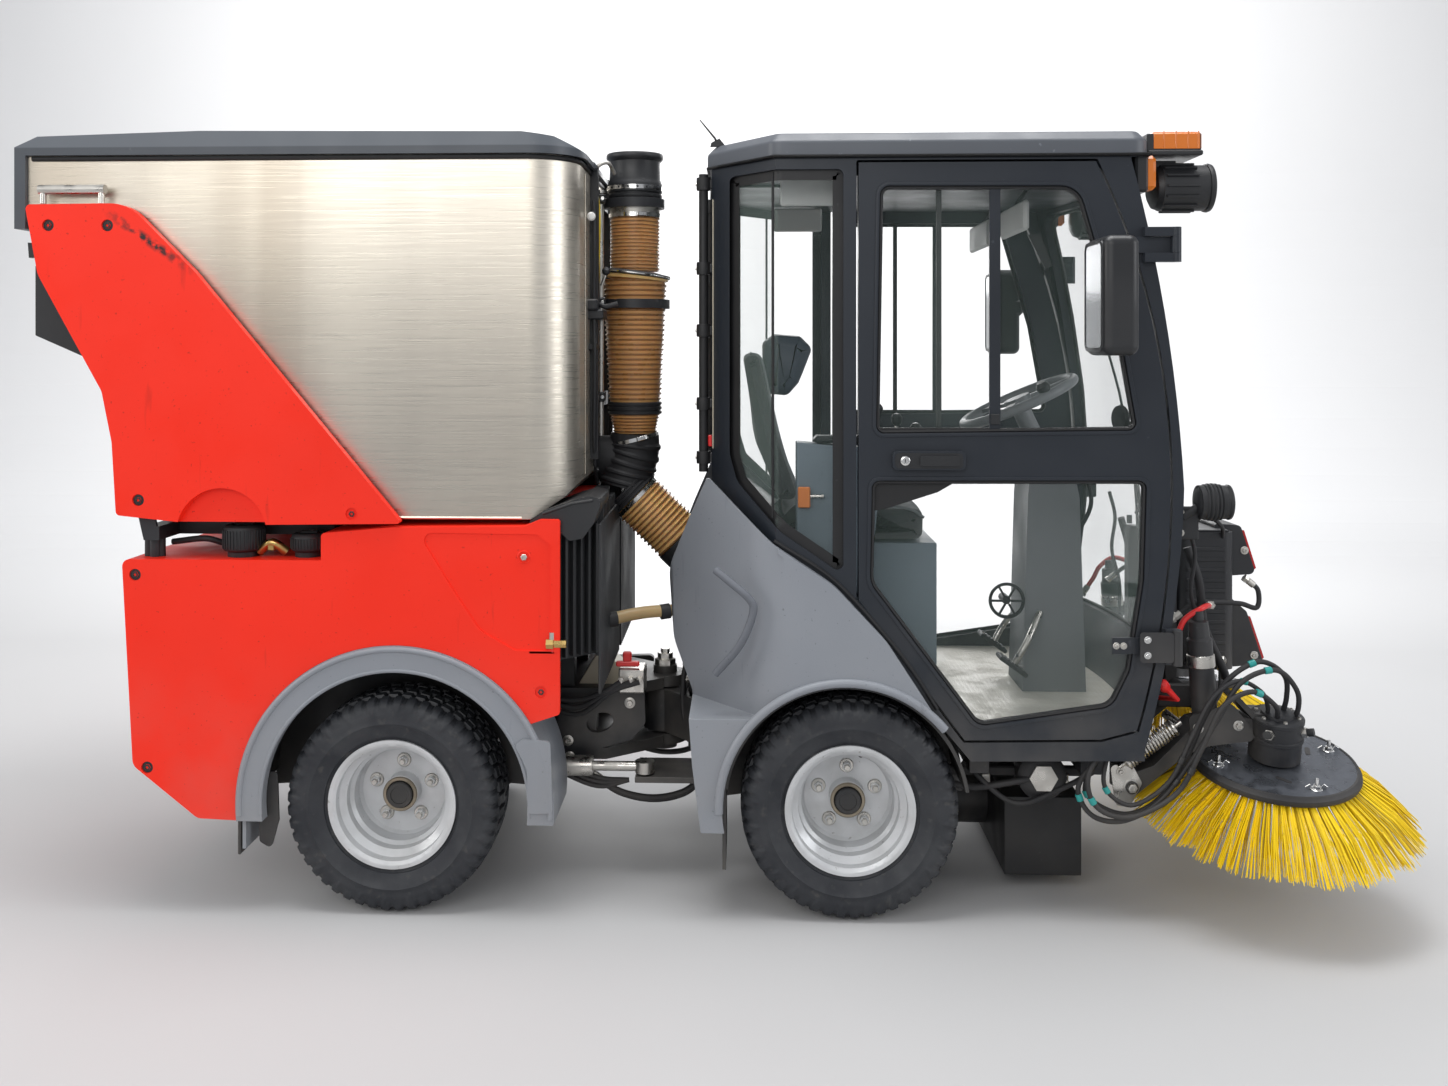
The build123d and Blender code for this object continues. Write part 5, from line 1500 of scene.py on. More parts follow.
def front_gear(shape):
    """Hydraulic lines, brackets, lamps' cables and bolts between the cab's nose and the brushes."""
    cables(shape, (
        (0.0065, 0, 3, (1.204, 0.3, 0.721), (1.256, 0.3, 0.758), (1.308, 0.3, 0.761), (1.372, 0.3, 0.759),
         (1.415, 0.3, 0.749), (1.418, 0.3, 0.794), (1.392, 0.3, 0.819)),
        (0.007, 1, 3, (1.15, 0.4, 0.66), (1.179, 0.4, 0.703), (1.199, 0.4, 0.739), (1.242, 0.4, 0.767),
         (1.285, 0.33, 0.76)),
        (0.011, 0, None, (1.236, 0.3, 0.905), (1.262, 0.31, 0.82), (1.28, 0.3, 0.7), (1.33, 0.29, 0.59),
         (1.345, 0.27, 0.56)),
        (0.0055, 0, None, (1.215, 0.35, 0.98), (1.235, 0.36, 0.9), (1.225, 0.36, 0.8), (1.245, 0.35, 0.7),
         (1.23, 0.3, 0.6)),
        (0.0055, 0, None, (1.255, 0.21, 0.93), (1.3, 0.24, 0.98), (1.35, 0.23, 0.95), (1.372, 0.17, 0.9)),
        (0.008, 0, 3, (1.21, 0.26, 0.52), (1.275, 0.29, 0.48), (1.33, 0.27, 0.52), (1.36, 0.2, 0.58)),
        (0.008, 0, 3, (1.18, 0.33, 0.47), (1.25, 0.33, 0.43), (1.3, 0.32, 0.52), (1.3, 0.24, 0.62)),
    ))
    body = along((1.246, 0.4, 0.498), (-0.07, 0, 1))
    shape.lathe(
        [
            (0.027, 0), (0.031, 0.004), (0.031, 0.19), (0.026, 0.196), (0.024, 0.235), (0.014, 0.238),
            (0.014, 0.262), (0, 0.262)
        ],
        body, 36, 2
    )
    shape.lathe([(0.032, 0.12), (0.034, 0.122), (0.034, 0.15), (0.032, 0.152)], body, 36, 3)
    shape.tube([(1.246, 0.4, 0.505), (1.246, 0.3, 0.52), (1.24, 0.19, 0.52)], 0.016, 16, 2)
    shape.brick((1.13, 0.335, 0.5), (1.236, 0.352, 0.56), 0.004, 2)
    shape.brick((1.12, 0.17, 0.498), (1.15, 0.352, 0.545), 0.004, 2)
    shape.tube(
        [(1.148, 0.35, 0.524), (1.165, 0.44, 0.544), (1.128, 0.455, 0.58)], [0.006, 0.006, 0.009], 14, 4
    )
    shape.lathe(
        [(0.01, 0), (0.014, 0.006), (0.014, 0.022), (0.008, 0.03), (0, 0.031)],
        along((1.134, 0.453, 0.572), (-0.6, 0.3, 0.7)), 18, 4
    )
    shape.prism(
        rounded([(1.06, 0.392), (1.15, 0.395), (1.16, 0.44), (1.085, 0.45)], 0.012), 0.25, 0.262, "Y", 2
    )
    for x, z in ((1.11, 0.366), (1.118, 0.343)):
        bolt(shape, outward(x, z, 0.334), 0.008, 0.006, 3, 0.012)
    for z in (0.61, 0.705, 0.8, 0.88):
        bolt(shape, outward(1.23, z, 0.19), 0.008, 0.006, 3, 0.012)
        shape.brick((1.222, 0.1895, z + 0.022), (1.238, 0.1925, z + 0.048), 0.001, 2)
    for x, z, level in (
        (1.37, 0.835, 0.15), (1.44, 0.875, 0.15), (1.392, 0.64, 0.15), (1.466, 0.59, 0.15)
    ):
        bolt(shape, outward(x, z, level), 0.007, 0.005, 3, 0.011)


def nose_panels(shape):
    """Red lamp panels on the two boards, louvres on the unit between them and its covers' seams."""
    for low, high in (((1.4335, 0.94), (1.4735, 0.812)), ((1.4495, 0.706), (1.4955, 0.566))):
        a, b = Vector((low[0], 0, low[1])), Vector((high[0], 0, high[1]))
        way = (b - a).normalized()
        normal = Vector((-way.z, 0, way.x))
        if normal.x < 0:
            normal = -normal
        for y_low, y_high, mark in ((-0.142, -0.054, 0), (-0.048, 0.048, 1), (0.054, 0.142, 0)):
            corners = []
            for share, lift in ((0.08, 0.0), (0.92, 0.0), (0.9, 0.006), (0.1, 0.006)):
                point = a.lerp(b, share) + normal * (lift - 0.001)
                corners.append((point.x, point.z))
            shape.prism(corners, y_low, y_high, "Y", mark)
    for count in range(11):
        z = 0.6 + 0.028 * count
        shape.brick((1.27, 0.1945, z), (1.372, 0.1985, z + 0.01), 0.001, 2)
        shape.brick((1.27, -0.1985, z), (1.372, -0.1945, z + 0.01), 0.001, 2)
    shape.brick((1.262, -0.19, 0.9295), (1.385, 0.19, 0.936), 0.002, 2)


def spring_coil(start, end, radius, turns, steps=14):
    """Points of a coil from start to end."""
    place = along(start, end - start)
    length, count = (end - start).length, turns * steps
    return [
        place @ Vector((*polar(radius, TURN * step / steps), length * step / count))
        for step in range(count + 1)
    ]


def arm_gear(shape):
    """Relief spring with its hooks, plates, motor ports and bolts on a brush arm."""
    y = 0.441
    start, end = Vector((1.04, y, 0.388)), Vector((1.152, y, 0.472))
    shape.tube(spring_coil(start, end, 0.019, 16), 0.0034, 8, 0)
    way = (end - start).normalized()
    for tip, sign in ((start, -1), (end, 1)):
        shape.lathe(
            [(0.0195, -0.004), (0.0225, 0), (0.0225, 0.004), (0.006, 0.01), (0.006, 0.026), (0, 0.027)],
            along(tip, way * sign), 20, 0
        )
    plate = rounded([(1.0, 0.374), (1.014, 0.272), (1.05, 0.272), (1.08, 0.33), (1.054, 0.378)], 0.012)
    shape.prism(plate, 0.4275, 0.4335, "Y", 0)
    bolt(shape, outward(1.053, 0.32, 0.4335), 0.013, 0.011, 0, 0.02)
    bolt(shape, outward(1.026, 0.358, 0.4335), 0.007, 0.006, 0, 0.011)
    side = rounded(
        [(1.195, 0.5), (1.304, 0.532), (1.352, 0.47), (1.358, 0.44), (1.24, 0.425), (1.2, 0.45)], 0.014
    )
    shape.prism(side, 0.4275, 0.4345, "Y", 1)
    bolt(shape, outward(1.218, 0.47, 0.4345), 0.0085, 0.007, 0, 0.013)
    bolt(shape, outward(1.318, 0.478, 0.4345), 0.0085, 0.007, 0, 0.013)
    bracket = [
        (1.317, 0.554), (1.358, 0.508), (1.445, 0.504), (1.45, 0.44), (1.438, 0.44), (1.436, 0.492),
        (1.352, 0.496), (1.306, 0.546)
    ]
    shape.prism(bracket, 0.345, 0.436, "Y", 1)
    place = brush_place(1)
    top = place @ Matrix.Translation((0, 0, 0.127))
    shape.lathe(
        [
            (0.0615, -0.012), (0.064, -0.01), (0.064, -0.002), (0.059, 0.0015), (0.04, 0.002),
            (0.038, 0.01), (0.026, 0.012), (0, 0.012)
        ],
        top, 48, 1
    )
    shape.lathe([(0.0625, -0.06), (0.065, -0.058), (0.065, -0.05), (0.0625, -0.048)], top, 48, 1)
    for turn in range(6):
        spot = top @ Matrix.Translation((*polar(0.05, TURN * (turn + 0.5) / 6), 0.0015))
        bolt(shape, spot, 0.0055, 0.005, 0)
    for angle in (0.6, 2.2):
        port = along(top @ Vector((*polar(0.058, angle), -0.03)), (*polar(1, angle), 0.2))
        shape.peg(port, 0.013, 0.014, 6, 0, crown=0)
        shape.lathe([(0.009, 0.014), (0.01, 0.016), (0.01, 0.03), (0, 0.031)], port, 18, 2)
    shape.prism(
        rounded([(1.398, 0.5), (1.47, 0.47), (1.48, 0.44), (1.392, 0.455)], 0.006), 0.35, 0.356, "Y", 3
    )


def brush_hoses():
    """Hydraulic hoses from the frame to the brush motors."""
    routes = (
        ("a", 0.0064, (
            (1.06, 0.47, 0.452), (1.0, 0.478, 0.43), (0.94, 0.48, 0.385), (0.908, 0.48, 0.325),
            (0.945, 0.48, 0.262), (1.022, 0.48, 0.252), (1.108, 0.48, 0.302), (1.186, 0.48, 0.402),
            (1.247, 0.48, 0.5), (1.308, 0.48, 0.598), (1.394, 0.475, 0.628), (1.45, 0.46, 0.577),
            (1.462, 0.44, 0.52), (1.45, 0.42, 0.488),
        )),
        ("b", 0.0064, (
            (1.08, 0.455, 0.462), (1.0, 0.47, 0.455), (0.93, 0.496, 0.37), (0.95, 0.498, 0.29),
            (1.036, 0.498, 0.268), (1.146, 0.498, 0.329), (1.207, 0.498, 0.441), (1.256, 0.498, 0.541),
            (1.329, 0.495, 0.579), (1.39, 0.48, 0.542), (1.405, 0.455, 0.505), (1.405, 0.43, 0.488),
        )),
        ("c", 0.0064, (
            (1.07, 0.44, 0.47), (1.01, 0.455, 0.444), (0.958, 0.462, 0.39), (0.93, 0.462, 0.325),
            (0.965, 0.462, 0.282), (1.036, 0.462, 0.262), (1.112, 0.462, 0.3), (1.176, 0.462, 0.395),
            (1.226, 0.462, 0.51), (1.282, 0.462, 0.6), (1.36, 0.46, 0.645), (1.424, 0.45, 0.61),
            (1.438, 0.43, 0.548), (1.43, 0.41, 0.488),
        )),
        ("d", 0.0056, (
            (1.09, 0.43, 0.48), (1.02, 0.446, 0.47), (0.972, 0.48, 0.372), (0.985, 0.482, 0.318),
            (1.046, 0.482, 0.292), (1.132, 0.482, 0.352), (1.186, 0.482, 0.462), (1.236, 0.48, 0.556),
            (1.3, 0.475, 0.6), (1.362, 0.462, 0.572), (1.388, 0.44, 0.528), (1.39, 0.42, 0.488),
        )),
    )
    materials = [rubber, zinc, teal_plastic, black_plastic]
    for side, sign in SIDES:
        for name, radius, route in routes:
            shape = Shape()
            points = [(x, sign * y, z) for x, y, z in route]
            cable(shape, points, radius, 0, 14, fitting=1)
            path = curve_points(points)
            band = [
                (radius, -0.009), (radius + 0.0022, -0.008), (radius + 0.0022, 0.008), (radius, 0.009)
            ]
            for quarter, mark in ((1, 2), (2, 3), (3, 2)):
                index = len(path) * quarter // 4
                shape.lathe(band, along(path[index], path[index + 1] - path[index - 1]), 20, mark)
            hose = build(f"brush_hose_{name}_{side}", shape, None, materials)
            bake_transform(hose)


# Rear half


def filler_cap(shape, x, radius, height):
    """Toothed cap with a finger bar and a pale mark on its top."""
    spot = at(x, 0.46, 0.894)
    wide = radius * 1.02
    profile = [
        (radius * 0.8, 0), (radius * 0.8, 0.012), (radius * 0.97, 0.016), (wide, 0.02),
        (wide, height - 0.012), (radius * 0.97, height - 0.003), (radius * 0.86, height + 0.0015),
        (radius * 0.6, height + 0.002), (radius * 0.55, height - 0.0005), (0, height - 0.0005),
    ]
    shape.lathe(profile, spot, 72, 0)
    low, high = (-0.0015, -0.0014, -height / 2 + 0.017), (0.0022, 0.0014, height / 2 - 0.014)
    for turn in range(36):
        tooth = spot @ Matrix.Rotation(TURN * turn / 36, 4, "Z")
        shape.brick(low, high, 0.0006, 0, tooth @ Matrix.Translation((wide, 0, height / 2 + 0.004)))
    half = radius * 0.5
    shape.brick((-half, -0.005, height - 0.001), (half, 0.005, height + 0.007), 0.002, 0, spot)
    mark = [(*polar(radius * 0.72, angle), height + 0.0022) for angle in np.linspace(-2.4, -1.2, 10)]
    shape.tube([spot @ Vector(point) for point in mark], 0.0012, 6, 3)


def rear_trim(shape):
    """Dark bolts in the covers' dimples, the rear ones each on a black disc that stands in for the shade
    in the recess, rods and cables on the ledge, and the fenders' lips.
    """
    dimple_shade_disc = [(0.0138, 0), (0.0138, 0.0012), (0.01, 0.0016), (0, 0.0016)]
    for x, z, y in (
        (-1.455, 0.855, BODY_Y), (-1.424, 0.37, BODY_Y), (-0.427, 0.57, BODY_Y),
        (-1.673, 1.735, WING_Y), (-1.521, 1.734, WING_Y), (-1.442, 1.044, WING_Y), (-0.9, 1.012, WING_Y),
    ):
        # painted shade: a black disc on the floor of each rear dimple stands in for the shade in the
        # recess
        if x < -1.4:
            shape.lathe(dimple_shade_disc, outward(x, z, y - 0.0049), 28, 0)
        bolt(shape, outward(x, z, y - 0.0045), 0.0078, 0.0055, 0)
    ring = [(0.015, 0), (0.017, 0.0015), (0.015, 0.003), (0.0125, 0.001)]
    shape.lathe(ring, outward(-0.47, 0.905, 0.5305), 28, 4, closed=True)
    bolt(shape, outward(-0.47, 0.905, 0.531), 0.0085, 0.0055, 5)
    rod = [
        (0.0115, 0), (0.0115, 0.05), (0.015, 0.052), (0.015, 0.062), (0.0115, 0.064), (0.0115, 0.078),
        (0, 0.079),
    ]
    for x in (-1.444, -1.414):
        shape.lathe(rod, at(x, 0.478, 0.8945), 24, 0)
    filler_cap(shape, -1.205, 0.0505, 0.078)
    filler_cap(shape, -1.035, 0.0445, 0.058)
    shape.tube(
        curve_points([(-1.16, 0.47, 0.905), (-1.125, 0.48, 0.93), (-1.09, 0.47, 0.905)]), 0.011, 14, 2
    )
    shape.peg(at(-1.125, 0.478, 0.912), 0.014, 0.012, 6, 2, crown=0)
    shape.tube(
        curve_points([(-1.4, 0.44, 0.925), (-1.31, 0.455, 0.936), (-1.265, 0.44, 0.922)]), 0.008, 12, 0
    )
    for radius, y, thick in ((0.3925, 0.5385, 0.0075), (0.3395, 0.537, 0.0055)):
        shape.tube([(x, y, z) for x, z in arc(REAR_ARCH, radius, -4, 184, 60)], thick, 12, 1)
    foot = [
        (-0.491, 0.44), (-0.47, 0.456), (-0.402, 0.45), (-0.3965, 0.272), (-0.458, 0.27), (-0.46, 0.38)
    ]
    shape.prism(rounded(foot, 0.01), 0.539, 0.5455, "Y", 1)
    flap = [(-1.155, 0.35), (-1.104, 0.352), (-1.1, 0.23), (-1.12, 0.157), (-1.15, 0.175)]
    shape.prism(rounded(flap, 0.01), 0.494, 0.5, "Y", 0)
    shape.brick((-1.1965, 0.33, 0.15), (-1.1885, 0.525, 0.262), 0.002, 0)
    for y in (0.36, 0.43, 0.5):
        bolt(shape, along((-1.1965, y, 0.246), BACK), 0.006, 0.005, 3, 0.01)


def engine_cap(shape):
    """Black corner cover over the radiators, and their upright fins."""
    cap = rounded(
        [
            (-0.468, 0.985), (-0.425, 1.018), (-0.352, 1.045), (-0.312, 1.056), (-0.283, 1.05),
            (-0.281, 1.034), (-0.296, 0.99), (-0.325, 0.95), (-0.358, 0.944), (-0.378, 0.962)
        ],
        0.008
    )
    shape.prism(cap, 0.3, 0.518, "Y", 0)
    shape.tube([(-0.425, 0.5185, 1.012), (-0.352, 0.5185, 1.038), (-0.3, 0.5185, 1.046)], 0.004, 10, 0)
    for y in np.arange(0.03, 0.5, 0.026):
        shape.brick((-0.287, y, 0.56), (-0.28, y + 0.01, 0.985), 0.0015, 0)


def wing_cup(shape):
    """Orange skin behind the wing's half-round opening."""
    half_round = [(-1.22 + 0.132 * cos(a), 0.992 + 0.108 * sin(a)) for a in np.linspace(pi, 0, 25)]
    shape.prism([(-1.352, 0.988)] + half_round + [(-1.088, 0.988)], 0.5195, 0.5225, "Y", 0)


def hinge_plate(shape):
    """Bolted plate that carries the door's lower hinge."""
    shape.prism(
        rounded([(1.046, 0.656), (1.128, 0.656), (1.128, 0.73), (1.046, 0.73)], 0.008), 0.5262, 0.5302,
        "Y", 0
    )
    shape.peg(at(1.138, 0.522, 0.648), 0.012, 0.086, 20, 0)
    for z in (0.674, 0.712):
        bolt(shape, outward(1.064, z, 0.5302), 0.0055, 0.004, 1, 0.009)


def hoop(shape, centre, radii, ends, levels):
    """Flat part of a ring between two radii and two angles in degrees, carried between two levels."""
    outer, inner = (arc(centre, radius, *ends) for radius in radii)
    shape.prism(outer + list(reversed(inner)), *levels)


def well_wall(shape, x, radius, end):
    """Thin dark wall between a wheel and the frame, round the upper part of the wheel."""
    hoop(shape, (x, 0.281), (radius, 0.24), (-4, end), (0.292, 0.2975))


def wheel_wells(shape):
    """Dark inner skin over each rear wheel, between the fender and the frame."""
    hoop(shape, REAR_ARCH, (0.386, 0.38), (2, 178), (0.296, 0.506))
    well_wall(shape, REAR_ARCH[0], 0.386, 184)


def front_wells(shape):
    well_wall(shape, 0.335, 0.318, 188)


def joint_gear(shape):
    """Tap on the radiator side, valve block with its fittings and cables, plate and hoses at the joint."""
    y = 0.531
    shape.lathe(
        [(0.013, 0), (0.013, 0.018), (0.01, 0.02), (0.01, 0.05), (0, 0.051)],
        along((-0.414, y, 0.69), FORWARD), 6, 4
    )
    shape.peg(at(-0.4, y, 0.696), 0.007, 0.022, 16, 1)
    shape.brick((-0.458, y - 0.005, 0.664), (-0.392, y + 0.004, 0.673), 0.002, 2)
    shape.tube([(-0.398, y, 0.668), (-0.4, y, 0.69)], 0.0045, 10, 2)
    shape.brick((-0.412, 0.51, 0.68), (-0.392, y, 0.7), 0.003, 1)
    shape.brick((-0.262, 0.175, 0.492), (-0.19, 0.245, 0.56), 0.004, 1)
    for count in range(3):
        shape.lathe(
            [(0.01, 0), (0.01, 0.012), (0.006, 0.013), (0.006, 0.02), (0, 0.02)],
            along((-0.255 + 0.026 * count, 0.245, 0.528), OUT), 6, 1
        )
        cable(
            shape,
            [
                (-0.255 + 0.026 * count, 0.262, 0.528), (-0.3 + 0.01 * count, 0.258, 0.5),
                (-0.38, 0.232, 0.47 - 0.02 * count), (-0.52, 0.225, 0.48)
            ],
            0.007, 0, steps=6
        )
    shape.brick((-0.268, 0.236, 0.566), (-0.205, 0.252, 0.58), 0.003, 2)
    shape.brick((-0.25, 0.238, 0.578), (-0.226, 0.25, 0.606), 0.004, 2)
    top = [(-0.436, 0.4), (-0.33, 0.578), (-0.3, 0.57), (-0.215, 0.51), (-0.26, 0.498), (-0.42, 0.398)]
    shape.prism(top, 0.06, 0.15, "Y", 3)
    for x, z in ((-0.405, 0.35), (-0.235, 0.455), (-0.4, 0.305)):
        bolt(shape, outward(x, z, 0.2), 0.009, 0.007, 1, 0.015)
    for count in range(3):
        cable(
            shape,
            [
                (-0.56, 0.23, 0.36 - 0.012 * count), (-0.43, 0.24, 0.31 - 0.014 * count),
                (-0.32, 0.234, 0.262 - 0.012 * count), (-0.235, 0.224, 0.252)
            ],
            0.0065, 0, steps=6
        )
    shape.lathe(
        [
            (0.03, 0), (0.03, 0.016), (0.022, 0.02), (0.022, 0.034), (0.013, 0.036), (0.013, 0.046),
            (0, 0.047)
        ],
        at(-0.15, 0, 0.514), 6, 1
    )
    shape.flip()


def front_joint_gear(shape):
    """Cable clips and small hoses on the front half's side of the joint, and hoses under the cab."""
    for x, z in ((-0.06, 0.56), (-0.055, 0.5), (-0.058, 0.44)):
        shape.brick((x - 0.02, 0.09, z - 0.018), (x + 0.012, 0.14, z + 0.018), 0.003, 0)
        shape.peg(along((x - 0.02, 0.115, z), BACK), 0.01, 0.014, 6, 1, crown=0)
    cables(shape, (
        (
            0.0075, 0, 1, (-0.08, 0.115, 0.56), (-0.092, 0.122, 0.5), (-0.09, 0.125, 0.4),
            (-0.06, 0.13, 0.33)
        ),
        (
            0.0065, 0, None, (-0.078, 0.115, 0.5), (-0.094, 0.108, 0.44), (-0.09, 0.112, 0.35),
            (-0.04, 0.12, 0.3)
        ),
    ))
    shape.brick((-0.08, 0.07, 0.3), (-0.045, 0.088, 0.59), 0.003, 0)
    shape.brick((0.4, 0.33, 0.318), (0.95, 0.352, 0.342), 0.004, 0)
    cables(shape, (
        (0.009, 0, None, (0.48, 0.36, 0.35), (0.64, 0.38, 0.3), (0.76, 0.4, 0.318), (0.9, 0.38, 0.345)),
        (0.007, 0, None, (0.64, 0.37, 0.36), (0.76, 0.41, 0.27), (0.88, 0.4, 0.3), (0.99, 0.38, 0.35)),
    ))
    for x in (0.7, 0.8, 0.9):
        shape.brick((x - 0.012, 0.33, 0.3), (x + 0.012, 0.372, 0.33), 0.003, 1)
    shape.lathe(
        [(0.055, 0), (0.062, 0.006), (0.062, 0.06), (0.05, 0.07), (0.03, 0.074), (0, 0.074)],
        along((0.84, 0.33, 0.33), OUT), 36, 0
    )
    shape.lathe([(0.036, 0.074), (0.036, 0.08), (0, 0.082)], along((0.84, 0.33, 0.33), OUT), 6, 1)


def transfer_cables():
    """Hoses that cross the joint below the frame."""
    for name, y, z, radius in (
        ("a", -0.215, 0.262, 0.0085), ("b", -0.19, 0.248, 0.0075), ("c", 0.205, 0.258, 0.0085)
    ):
        shape = Shape()
        cable(
            shape,
            [
                (-0.33, y, z), (-0.26, y * 1.05, z - 0.04), (-0.17, y, z - 0.06),
                (-0.085, y * 0.95, z - 0.045), (-0.03, y, z + 0.005)
            ],
            radius, 0, 12, 8, fitting=1
        )
        hose = build(f"joint_hose_{name}", shape, None, [rubber, zinc])
        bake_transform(hose)


def rear_end(shape):
    """Louvres of the engine door with its side strips and latches, and a blank plate holder."""
    for count in range(12):
        z = 0.5 + 0.026 * count
        shape.brick((-1.4925, -0.26, z), (-1.4865, 0.26, z + 0.012), 0.0015, 0)
    for y in (-0.3, 0.3):
        shape.brick((-1.4935, y - 0.012, 0.47), (-1.488, y + 0.012, 0.84), 0.0015, 0)
        latch = along((-1.4885, y, 0.655), BACK)
        shape.lathe(
            [(0.02, 0), (0.02, 0.003), (0.017, 0.005), (0.009, 0.005), (0.008, 0.002), (0, 0.002)], latch,
            32, 1
        )
    shape.brick((-1.498, -0.15, 0.838), (-1.488, 0.15, 0.872), 0.003, 0)


def rear_lights(shape):
    """Ribbed lenses over the lamp blocks at the rear."""
    for z, mark in ((0.64, 0), (0.72, 1)):
        shape.brick((-1.504, 0.382, z + 0.003), (-1.4985, 0.478, z + 0.061), 0.0035, mark)
        for count in range(5):
            shape.brick(
                (-1.5058, 0.392 + 0.018 * count, z + 0.01), (-1.503, 0.397 + 0.018 * count, z + 0.054),
                0.0008, mark
            )
    shape.brick((-1.501, 0.3765, 0.634), (-1.496, 0.4835, 0.79), 0.002, 2)


def hopper_gear(shape):
    """Rod, clamps, levers and cables on the tank's front wall beside the stored hose."""
    shape.tube([(-0.3245, -0.11, 1.181), (-0.3245, -0.11, 1.862)], 0.0085, 20, 1)
    shape.lathe(
        [(0.0085, 0), (0.014, 0.003), (0.014, 0.012), (0, 0.014)], at(-0.3245, -0.11, 1.858), 20, 1
    )
    for z in (1.29, 1.555, 1.845):
        shape.brick((-0.34, -0.128, z - 0.014), (-0.312, -0.094, z + 0.014), 0.004, 0)
        bolt(shape, along((-0.318, -0.128, z), (0, -1, 0)), 0.006, 0.005, 2)
    shape.brick((-0.392, -0.22, 1.505), (-0.306, -0.115, 1.532), 0.004, 0)
    shape.brick((-0.36, -0.235, 1.53), (-0.32, -0.18, 1.56), 0.004, 0)
    shape.tube(
        curve_points(
            [
                (-0.335, -0.19, 1.534), (-0.318, -0.2, 1.545), (-0.3, -0.205, 1.54),
                (-0.268, -0.205, 1.548)
            ],
            6
        ),
        0.007, 12, 0
    )
    shape.brick((-0.392, -0.21, 1.42), (-0.325, -0.12, 1.44), 0.004, 0)
    shape.tube([(-0.318, -0.15, 1.6), (-0.304, -0.156, 1.636)], 0.0045, 10, 1)
    shape.lathe(
        [(0.004, 0), (0.0105, 0.006), (0.012, 0.014), (0.008, 0.022), (0, 0.024)],
        at(-0.305, -0.155, 1.628), 20, 0
    )
    cable(
        shape,
        [
            (-0.334, -0.2, 1.83), (-0.33, -0.215, 1.7), (-0.333, -0.205, 1.56), (-0.33, -0.21, 1.4),
            (-0.334, -0.19, 1.2), (-0.335, -0.16, 1.1)
        ],
        0.0055, 0
    )
    cable(
        shape,
        [(-0.331, -0.135, 1.86), (-0.326, -0.14, 1.78), (-0.329, -0.132, 1.7), (-0.33, -0.136, 1.61)],
        0.0042, 3
    )
    shape.lathe(
        [(0.006, 0), (0.011, 0.004), (0.012, 0.01), (0.008, 0.015), (0, 0.016)],
        along((-0.338, -0.245, 1.782), (0.4, -1, 0)), 20, 4
    )
    shape.tube(
        curve_points(
            [(-0.335, -0.15, 1.88), (-0.33, -0.165, 1.925), (-0.3, -0.16, 1.94), (-0.285, -0.12, 1.915)],
            6
        ),
        0.0055, 12, 1
    )
    shape.brick((-0.338, 0.06, 1.35), (-0.318, 0.11, 1.42), 0.003, 0)
    cable(
        shape, [(-0.325, 0.09, 1.35), (-0.318, 0.11, 1.25), (-0.325, 0.12, 1.12), (-0.345, 0.13, 1.04)],
        0.006, 0
    )


def hopper_seams(shape):
    """Rubber seal under the lid, the tank's rolled bottom edge and its welded joint strips."""
    half, front, corner, rear = 0.505, -0.347, 0.13, -1.735
    plan = [(rear, half)] + arc((front - corner, half - corner), corner, 90, 0, 12)
    plan += arc((front - corner, corner - half), corner, 0, -90, 12) + [(rear, -half)]
    shape.tube([(x + 0.001, y * 1.004, 1.9075) for x, y in plan], 0.0065, 10, 0)
    for y in (-0.503, 0.503):
        shape.tube([(-1.43, y, 0.9985), (-0.48, y, 0.9985)], 0.0045, 10, 1)
    for y in (-0.3, 0.3):
        shape.brick((-0.346, y - 0.004, 1.09), (-0.3435, y + 0.004, 1.89), 0.0006, 1)


def tail_trim(shape):
    """Brackets, hinge and bolts on the black board below the lid's rear lip."""
    shape.brick((-1.77, -0.38, 1.452), (-1.762, 0.38, 1.478), 0.002, 0)
    for y in (-0.3, -0.1, 0.1, 0.3):
        bolt(shape, along((-1.765, y, 1.6), BACK), 0.008, 0.006, 1, 0.013)
        shape.lathe([(0.012, -0.03), (0.012, 0.03)], along((-1.762, y, 1.64), OUT), 20, 0)
    ear = [(-1.793, 1.702), (-1.768, 1.7), (-1.76, 1.664), (-1.79, 1.662)]
    shape.prism(ear, -0.425, -0.405, "Y", 0)
    shape.prism(ear, 0.405, 0.425, "Y", 0)


def cab_seals(shape):
    """Rubber beads round the front and rear glass, and the wiper."""
    half = 0.448
    loop = dense(
        rounded([(-half, 0.642), (half, 0.642), (half - 0.01, 1.848), (0.01 - half, 1.848)], 0.06, 8),
        0.03
    )
    points = []
    for y, z in loop:
        points.append((front_skin_x(y, z) - 0.0065, y, z))
    shape.tube(points + [points[0]], 0.006, 8, 0)
    wiper = curve_points([(0, 0.02, 0.7), (0, 0.1, 0.9), (0, 0.22, 1.18)], 8)
    shape.tube([(front_skin_x(p.y, p.z) + 0.02, p.y, p.z) for p in wiper], 0.005, 10, 0)
    blade = [
        (front_skin_x(0.1 + 0.2 * t, 0.9 + 0.62 * t) + 0.008, 0.1 + 0.2 * t, 0.9 + 0.62 * t)
        for t in np.linspace(0, 1, 12)
    ]
    shape.tube(blade, 0.004, 8, 0)
    shape.lathe(
        [(0.016, 0), (0.016, 0.02), (0.01, 0.028), (0, 0.029)],
        along((front_skin_x(0.02, 0.7) - 0.002, 0.02, 0.7), (1, 0, 0)), 24, 0
    )
    rear = dense(
        rounded([(-0.248, 1.132), (0.248, 1.132), (0.248, 1.858), (-0.248, 1.858)], 0.028, 8), 0.04
    )
    back = [(-0.0085, y, z) for y, z in rear]
    shape.tube(back + [back[0]], 0.005, 8, 0)


